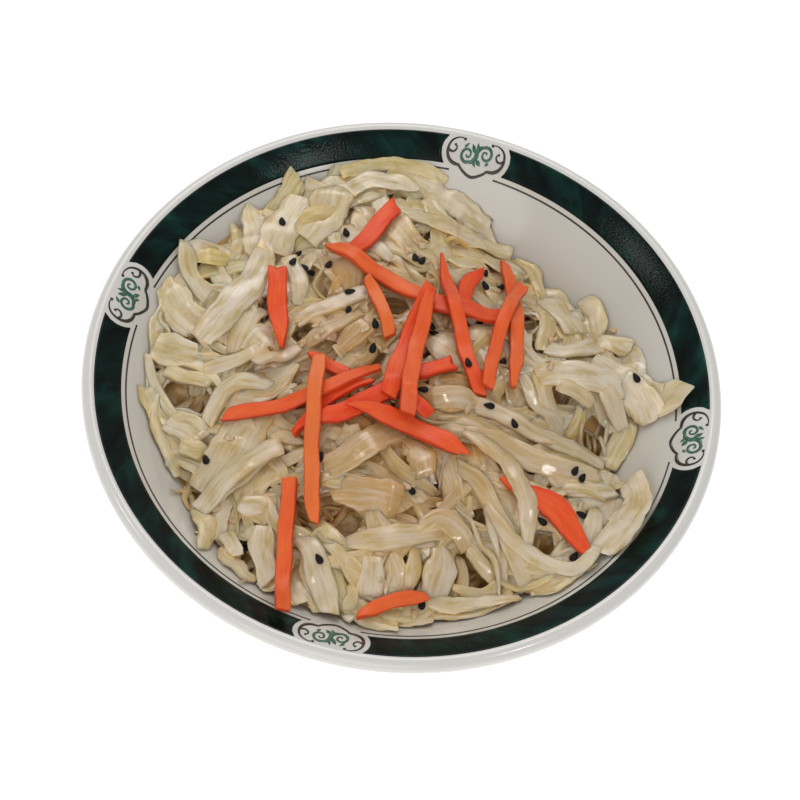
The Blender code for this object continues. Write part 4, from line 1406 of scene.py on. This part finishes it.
def make_cabbage(ground, rng):
    """Lays the fill and then the shreds that stand out. Returns the pieces."""
    bundles = {name: Bundle() for name in KINDS}
    lay_deep(ground, bundles["string"], random.Random(3))
    lay_fill(ground, bundles, rng)
    lay_rows(ground, bundles, SHREDS, rng)
    ground.add_top(NODES["carrot_slice"])
    lay_rows(ground, bundles, SHREDS_OVER_SLICE, rng, over_carrots=True)
    pieces = []
    for name, bundle in bundles.items():
        material = cabbage_paint(f"cabbage_{name}", *KINDS[name]["rough"])
        pieces.append(bundle.finish(KINDS[name]["piece"], material, "cabbage"))
    return pieces


# ----------------------------------------- carrots

# How each carrot strip's far end and near end are cut: the width that is left at the tip, the share of
# the length it narrows over, the slant of the cut, and a notch's depth in millimetres. Then how pale it is.
CARROTS = {
    "hook": ((0.45, 0.30, 0.8, 0), (0.9, 0.1, 0, 0), 0.0),
    "bar": ((0.9, 0.05, 0, 0), (0.95, 0.05, 0, 0), 0.1),
    "far_tip": ((0.85, 0.15, 0.5, 1.2), (0.9, 0.1, 0, 0), 0.05),
    "far_left": ((0.12, 0.16, -0.2, 0), (0.8, 0.1, -0.5, 0), 0.35),
    "left_stub": ((0.95, 0.1, 0.1, 2.4), (0.15, 0.35, 0, 0), 0.1),
    "notch": ((0.55, 0.25, 0.6, 0), (0.9, 0.1, 0, 0), 0.2),
    "sliver": ((0.4, 0.3, 0, 0), (0.7, 0.1, 0.2, 0), 0.0),
    "dark": ((0.8, 0.2, 0, 0), (0.7, 0.12, 0.5, 0), 0.0),
    "low_right": ((0.10, 0.28, 0.3, 0), (0.30, 0.14, 0.6, 0), 0.15),
    "low_left": ((0.6, 0.2, 0, 0), (0.75, 0.06, 0.6, 0), 0.25),
    "down": ((0.8, 0.1, 0, 0), (0.55, 0.12, 0.2, 0), 0.6),
    "fork": ((1.0, 0.1, 0, 2.2), (0.9, 0.1, 0, 0), 0.0),
    "chip": ((0.8, 0.2, 0, 0), (0.85, 0.2, 0.3, 0), 0.0),
    "slope": ((0.7, 0.15, -0.4, 0), (0.9, 0.1, 0, 0), 0.55),
    "spear": ((0.7, 0.2, 0.3, 0), (0.85, 0.1, 0.2, 0), 0.1),
    "twin": ((0.6, 0.2, 0, 0), (0.9, 0.05, 0.1, 0), 0.3),
    "near_arm": ((0.08, 0.28, 0, 0), (0.85, 0.04, 0.3, 0), 0.15),
    "right_arm": ((0.75, 0.08, 0.3, 0), (0.35, 0.14, 0, 0), 0.4),
    "right_leg": ((0.85, 0.1, 0.4, 1.6), (0.85, 0.04, 0.1, 0), 0.3),
    "over_band": ((0.9, 0.03, 0.1, 0), (0.95, 0.03, 0, 0), 0.3),
    "near_crumb": ((0.5, 0.2, -0.3, 0), (0.4, 0.25, 0.3, 0), 0.35),
    "slice": ((0.10, 0.40, 0, 0), (0.25, 0.35, 0, 0), 0.1),
}

# A carrot strip's form: a rounded bar whose ends are cut over a few rings. It wobbles in width, sways,
# and has ridges. Waves are in radians a millimetre, and their heights are shares of the half-width or
# half-thickness. A wobble is a wave and its height.
CARROT_RING = 0.8 * MM
CARROT_INSET = 0.06
CARROT_POINTS = 20
CARROT_SQUARE = 6.0
CARROT_FULL = 85
SECTION_SPACING = 1.6 * MM
FEWEST_SECTIONS = 6
FEWEST_CARROT_RINGS = 12
TIP_POWER = 0.8
CARROT_WOBBLE = ((0.45, 0.03), (1.7, 0.02))
CARROT_RIDGE = 0.07
CARROT_RIDGE_WAVE = 4.2
CARROT_RIDGE_DRIFT = 0.10
CARROT_FINE = 0.04
CARROT_FINE_WAVE = 9
CARROT_LONG = 0.02
CARROT_LONG_WAVE = 0.8
CARROT_SWAY = 0.06
SWAY_WAVE = 0.35
FLAT_SHARE = 0.7
CUT_RINGS = 3
CARROT_CAP_SHAPE = (0.86, 0.12 * MM, 0.16 * MM)


def bar_sections(node):
    """Sections of a bar-shaped node from end to end: their middles, sideways and upward half-axes."""
    co = np.array([vertex.co for vertex in node.data.vertices])
    pairs = np.array([tuple(edge.vertices) for edge in node.data.edges])
    middle = co.mean(axis=0)
    axis = np.linalg.svd(co - middle, full_matrices=False)[2][0]
    along = (co - middle) @ axis
    low, high = along.min(), along.max()
    inset = CARROT_INSET * (high - low)
    sections = []
    count = max(FEWEST_SECTIONS, round((high - low) / SECTION_SPACING))
    for place in np.linspace(low + inset, high - inset, count):
        a, b = along[pairs[:, 0]], along[pairs[:, 1]]
        crossing = (a - place) * (b - place) < 0
        share = ((place - a) / np.where(b == a, 1, b - a))[crossing][:, None]
        cut = co[pairs[crossing, 0]] * (1 - share) + co[pairs[crossing, 1]] * share
        heart = cut.mean(axis=0)
        up = np.linalg.svd(cut - heart, full_matrices=False)[2][1]
        up = up * np.sign(up[2] or 1)
        side = np.cross(up, axis)
        wide, thick = (cut - heart) @ side, (cut - heart) @ up
        heart = heart + side * (wide.max() + wide.min()) / 2 + up * (thick.max() + thick.min()) / 2
        sections.append((heart, side * np.ptp(wide) / 2, up * np.ptp(thick) / 2))
    middle, side, up = (np.array(part) for part in zip(*sections))
    if middle[0][1] < middle[-1][1]:
        return middle[::-1], -side[::-1], up[::-1]
    return middle, side, up


def carrot_frame(node):
    """A strip's length, and at places from 0 to 1 along it its middle line, side, up and ahead."""
    middle, side, up = bar_sections(node)
    wide = np.linalg.norm(side, axis=1)
    side = side / wide[:, None] * np.percentile(wide, CARROT_FULL)
    length = np.linalg.norm(np.diff(middle, axis=0), axis=1).sum() / (1 - 2 * CARROT_INSET)
    t = np.linspace(0, 1, max(FEWEST_CARROT_RINGS, round(length / CARROT_RING)))
    known = np.linspace(CARROT_INSET, 1 - CARROT_INSET, len(middle))
    path, side, up = (
        np.stack([np.interp(t, known, column) for column in eased(values).T], axis=1)
        for values in (middle, side, up)
    )
    for beyond, first, inner in ((t < known[0], 0, 1), (t > known[-1], -1, -2)):
        step = (middle[first] - middle[inner]) / (known[1] - known[0])
        path[beyond] += np.abs(t[beyond] - known[first])[:, None] * step
    return t, length, path, side, up, unit(np.gradient(path, axis=0))


def carrot_mesh(node, ends, rng):
    """A carrot strip on the node's own sections: crisp long edges, cut ends and ridges along it."""
    far_end, near_end, pale = ends
    t, length, path, side, up, ahead = carrot_frame(node)
    narrow = np.ones(len(t))
    for (left, reach, _, _), inward in ((far_end, t), (near_end, 1 - t)):
        narrow = np.minimum(narrow, left + (1 - left) * np.clip(inward / reach, 0, 1) ** TIP_POWER)
    phase = random_phases(rng)
    run = (t * length / MM)[:, None]
    round_a, round_b = squared(CARROT_POINTS, CARROT_SQUARE)
    wobble = sum(most * np.sin(run * wave + start) for (wave, most), start in zip(CARROT_WOBBLE, phase))
    a = narrow[:, None] * (1 + wobble) * round_a
    half = np.linalg.norm(side, axis=1).mean()
    wide = a * half / MM
    ridges = CARROT_RIDGE * np.sin(wide * CARROT_RIDGE_WAVE + phase[2] + CARROT_RIDGE_DRIFT * run)
    ridges = ridges + CARROT_FINE * np.sin(wide * CARROT_FINE_WAVE + phase[3])
    ridges = ridges + CARROT_LONG * np.sin(run * CARROT_LONG_WAVE + phase[4])
    b = (FLAT_SHARE + (1 - FLAT_SHARE) * narrow)[:, None] * round_b * (1 + ridges)
    sway = CARROT_SWAY * np.sin(run * SWAY_WAVE + phase[5])
    rings = swept(path, side, up, a + sway, b)
    for (_, _, slant, notch), first, inward in ((far_end, 0, 1), (near_end, -1, -1)):
        push = slant * half * round_a + notch * MM * (1 - np.abs(round_a)) * inward
        for ring in range(CUT_RINGS):
            row = first + ring * inward
            rings[row] += ahead[row] * (push * (1 - ring / CUT_RINGS))[:, None]
    grain = np.stack((run + 0 * a, wide, b), axis=-1)
    verts, faces, grain = strip(rings, grain, ahead, CARROT_CAP_SHAPE)
    edge = np.ones(len(verts))
    edge[CARROT_POINTS:-CARROT_POINTS - 2] = np.abs(np.tile(round_a, len(t)))
    tint = np.column_stack((np.full(len(verts), pale), edge, 0 * edge))
    return verts, faces, grain + rng.uniform(0, GRAIN_REACH), tint


def make_carrots(rng):
    """Makes each carrot strip from its node. Returns the pieces."""
    material = carrot_paint()
    pieces = []
    for name, ends in CARROTS.items():
        node = f"carrot_{name}"
        bundle = Bundle()
        bundle.add(*carrot_mesh(NODES[node], ends, rng))
        piece = bundle.finish(f"{node}_strip", material, "carrot")
        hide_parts(node)
        pieces.append(piece)
    return pieces


# ------------------------------------------- seeds


# Sesame seeds that show, as column and row in the photograph's 800 pixels. A black seed's third
# value is its heading in the picture, in degrees.
BLACK_SEEDS = (
    (282, 222, 100), (346, 233, 105), (298, 255, 40), (293, 262, 55), (304, 268, 140), (310, 273, 165),
    (329, 265, 60), (350, 292, 10), (349, 310, 90), (375, 324, 95), (373, 348, 75), (415, 258, 100),
    (422, 261, 55), (485, 274, 65), (485, 286, 115), (501, 288, 30), (431, 326, 125), (434, 334, 160),
    (481, 324, 0), (468, 363, 105), (503, 362, 70), (423, 390, 175), (636, 378, 120), (489, 406, 170),
    (514, 424, 110), (575, 471, 60), (582, 478, 55), (581, 515, 150), (574, 557, 55), (542, 522, 135),
    (411, 490, 120), (437, 487, 20), (422, 605, 70), (206, 460, 105), (321, 457, 75), (244, 548, 165),
    (319, 559, 120),
)
PALE_SEEDS = (
    (260, 300), (325, 253), (328, 278), (339, 291), (366, 310), (365, 329), (303, 344), (318, 338),
    (316, 326), (420, 232), (418, 241), (409, 250), (422, 246), (497, 291), (437, 312), (445, 320),
    (467, 410), (548, 443), (551, 342), (551, 366), (613, 331), (262, 376), (273, 365), (230, 438),
    (217, 509), (233, 521), (405, 452), (407, 487), (379, 554), (414, 615), (484, 467),
)
CRUMBS = (
    (417, 226), (423, 234), (415, 241), (421, 247), (427, 243), (411, 250), (418, 255), (407, 253),
    (300, 334), (308, 329), (315, 336), (322, 331), (296, 341), (305, 342), (373, 303), (380, 309),
    (386, 301), (376, 317), (384, 322), (395, 312), (367, 297), (428, 262), (436, 268), (446, 322),
    (451, 326), (441, 329), (555, 340), (548, 362), (553, 356), (612, 330), (330, 292), (420, 425),
    (412, 487), (381, 580), (415, 615),
)
SEED_SIZE = mm(1.8, 1.05, 0.5)
SEED_POINTED = 0.38
SEED_FLATTER = 0.15
SEED_STAND = 0.7
SEED_LEVEL = 0.4
PALE_SCALE = 0.92
CRUMB_SCALE = 0.6


def sight(column, row):
    """The direction in which the camera sees a pixel of the photograph."""
    right, up, back = camera_axes()
    pixel = CAMERA_SENSOR / CAMERA_LENS / PHOTO_PIXELS
    aside = (column - PHOTO_PIXELS / 2 + CAMERA_SHIFT[0] * PHOTO_PIXELS) * pixel
    rise = (PHOTO_PIXELS / 2 + CAMERA_SHIFT[1] * PHOTO_PIXELS - row) * pixel
    return (right * aside + up * rise - back).normalized()


def seed_pose(where, normal, heading, seen):
    """Turns a seed to lie on a surface, with its long axis along a heading of the picture."""
    right, up, _ = camera_axes()
    angle = math.radians(heading)
    along = right * math.cos(angle) + up * math.sin(angle)
    along = (along - seen * (along.dot(normal) / seen.dot(normal))).normalized()
    turn = Matrix((along, normal.cross(along), normal)).transposed().to_4x4()
    return Matrix.Translation(where + normal * SEED_SIZE[2] * SEED_STAND) @ turn


def seed_form(scale):
    """Vertices and faces of a seed that is round at one end and pointed and flatter at the other."""
    bm = bmesh.new()
    bmesh.ops.create_icosphere(bm, subdivisions=3, radius=1.0)
    verts = [Vector([c * size * scale for c, size in zip(vert.co, SEED_SIZE)]) for vert in bm.verts]
    for point, vert in zip(verts, bm.verts):
        point.y *= 1 - SEED_POINTED * vert.co.x
        point.z *= 1 - SEED_FLATTER * vert.co.x
    faces = [tuple(v.index for v in f.verts) for f in bm.faces]
    bm.free()
    return verts, faces


def make_seeds(foods, carrots, rng):
    """Lays each seed on what shows along its line of sight. Only black ones lie on carrot."""
    eye = Vector(CAMERA_TARGET) + camera_axes()[2] * CAMERA_DISTANCE
    trees = [(tree_of(piece), piece in carrots) for piece in (*foods, *carrots)]
    pale = pale_seed_paint()
    for name, spots, material, scale in (
        ("seeds_black", BLACK_SEEDS, black_seed_paint(), 1.0),
        ("seeds_pale", PALE_SEEDS, pale, PALE_SCALE),
        ("seed_crumbs", CRUMBS, pale, CRUMB_SCALE),
    ):
        points, triangles = seed_form(scale)
        verts, faces = [], []
        for column, row, *heading in spots:
            seen = sight(column, row)
            hits = [(*tree.ray_cast(eye, seen), on_carrot) for tree, on_carrot in trees]
            where, normal, _, _, on_carrot = min((hit for hit in hits if hit[0]), key=lambda hit: hit[3])
            turn = heading[0] if heading else rng.uniform(0, 360)
            if on_carrot and not heading:
                continue
            normal = (normal + Vector((0, 0, SEED_LEVEL))).normalized()
            pose = seed_pose(where, normal, turn, seen)
            faces += [tuple(len(verts) + v for v in face) for face in triangles]
            verts += [pose @ point for point in points]
        seeds = new_piece(name, verts, faces, material)


# ------------------------------------------- stage


def camera_axes():
    """The camera's right, its up, and the direction back from what it looks at."""
    azimuth, elevation, roll = (math.radians(a) for a in (CAMERA_AZIMUTH, CAMERA_ELEVATION, CAMERA_ROLL))
    level = math.cos(elevation)
    back = Vector((math.sin(azimuth) * level, -math.cos(azimuth) * level, math.sin(elevation)))
    right = Vector((math.cos(azimuth), math.sin(azimuth), 0))
    up = back.cross(right)
    return right * math.cos(roll) + up * math.sin(roll), up * math.cos(roll) - right * math.sin(roll), back


def make_camera():
    right, up, back = camera_axes()
    data = bpy.data.cameras.new("camera")
    data.lens, data.sensor_width = CAMERA_LENS, CAMERA_SENSOR
    data.shift_x, data.shift_y = CAMERA_SHIFT
    data.clip_start, data.clip_end = CAMERA_CLIP
    camera = add_object("camera", data)
    turn = Matrix((right, up, back)).transposed().to_4x4()
    camera.matrix_world = Matrix.Translation(Vector(CAMERA_TARGET) + back * CAMERA_DISTANCE) @ turn
    bpy.context.scene.camera = camera


def make_light(name, place, size, power, colour):
    """A soft area light that faces the middle of the bowl."""
    data = bpy.data.lights.new(name, "AREA")
    data.shape = "DISK"
    data.size = size
    data.energy = power
    data.color = colour
    light = add_object(name, data)
    light.location = place
    light.rotation_mode = "QUATERNION"
    light.rotation_quaternion = (Vector(CAMERA_TARGET) - Vector(place)).to_track_quat("-Z", "Y")


def make_stage():
    """The lights, the even light from all round, and the ground under the bowl."""
    scene = bpy.context.scene
    scene.view_settings.view_transform = "Standard"
    world = bpy.data.worlds.new("studio")
    world.use_nodes = True
    background = world.node_tree.nodes["Background"]
    background.inputs["Color"].default_value = SKY_COLOUR
    background.inputs["Strength"].default_value = SKY_STRENGTH
    scene.world = world
    for name, light in LIGHTS.items():
        make_light(name, *light)
    mesh = bpy.data.meshes.new("floor")
    corners = [(x * FLOOR_REACH, y * FLOOR_REACH, 0) for x, y in ((-1, -1), (1, -1), (1, 1), (-1, 1))]
    mesh.from_pydata(corners, [], [(0, 1, 2, 3)])
    mesh.materials.append(floor_paint())
    floor = add_object("floor", mesh)
    floor.location.z = -FLOOR_DROP
    floor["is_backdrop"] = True


def write_sizes():
    boxes = {"cad": CAD_BOX, "visual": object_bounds()}
    {name: [list(corner) for corner in box] for name, box in boxes.items()}


def main():
    rng = random.Random(11)
    bowl = make_bowl()
    make_ornament()
    ground = Ground()
    for name in CARROTS:
        ground.add_ceiling(NODES[f"carrot_{name}"])
    core = make_core()
    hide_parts("cabbage")
    cabbage = make_cabbage(ground, rng)
    carrots = make_carrots(rng)
    make_seeds([bowl, core, *cabbage], carrots, rng)
    make_camera()
    make_stage()
    write_sizes()


main()
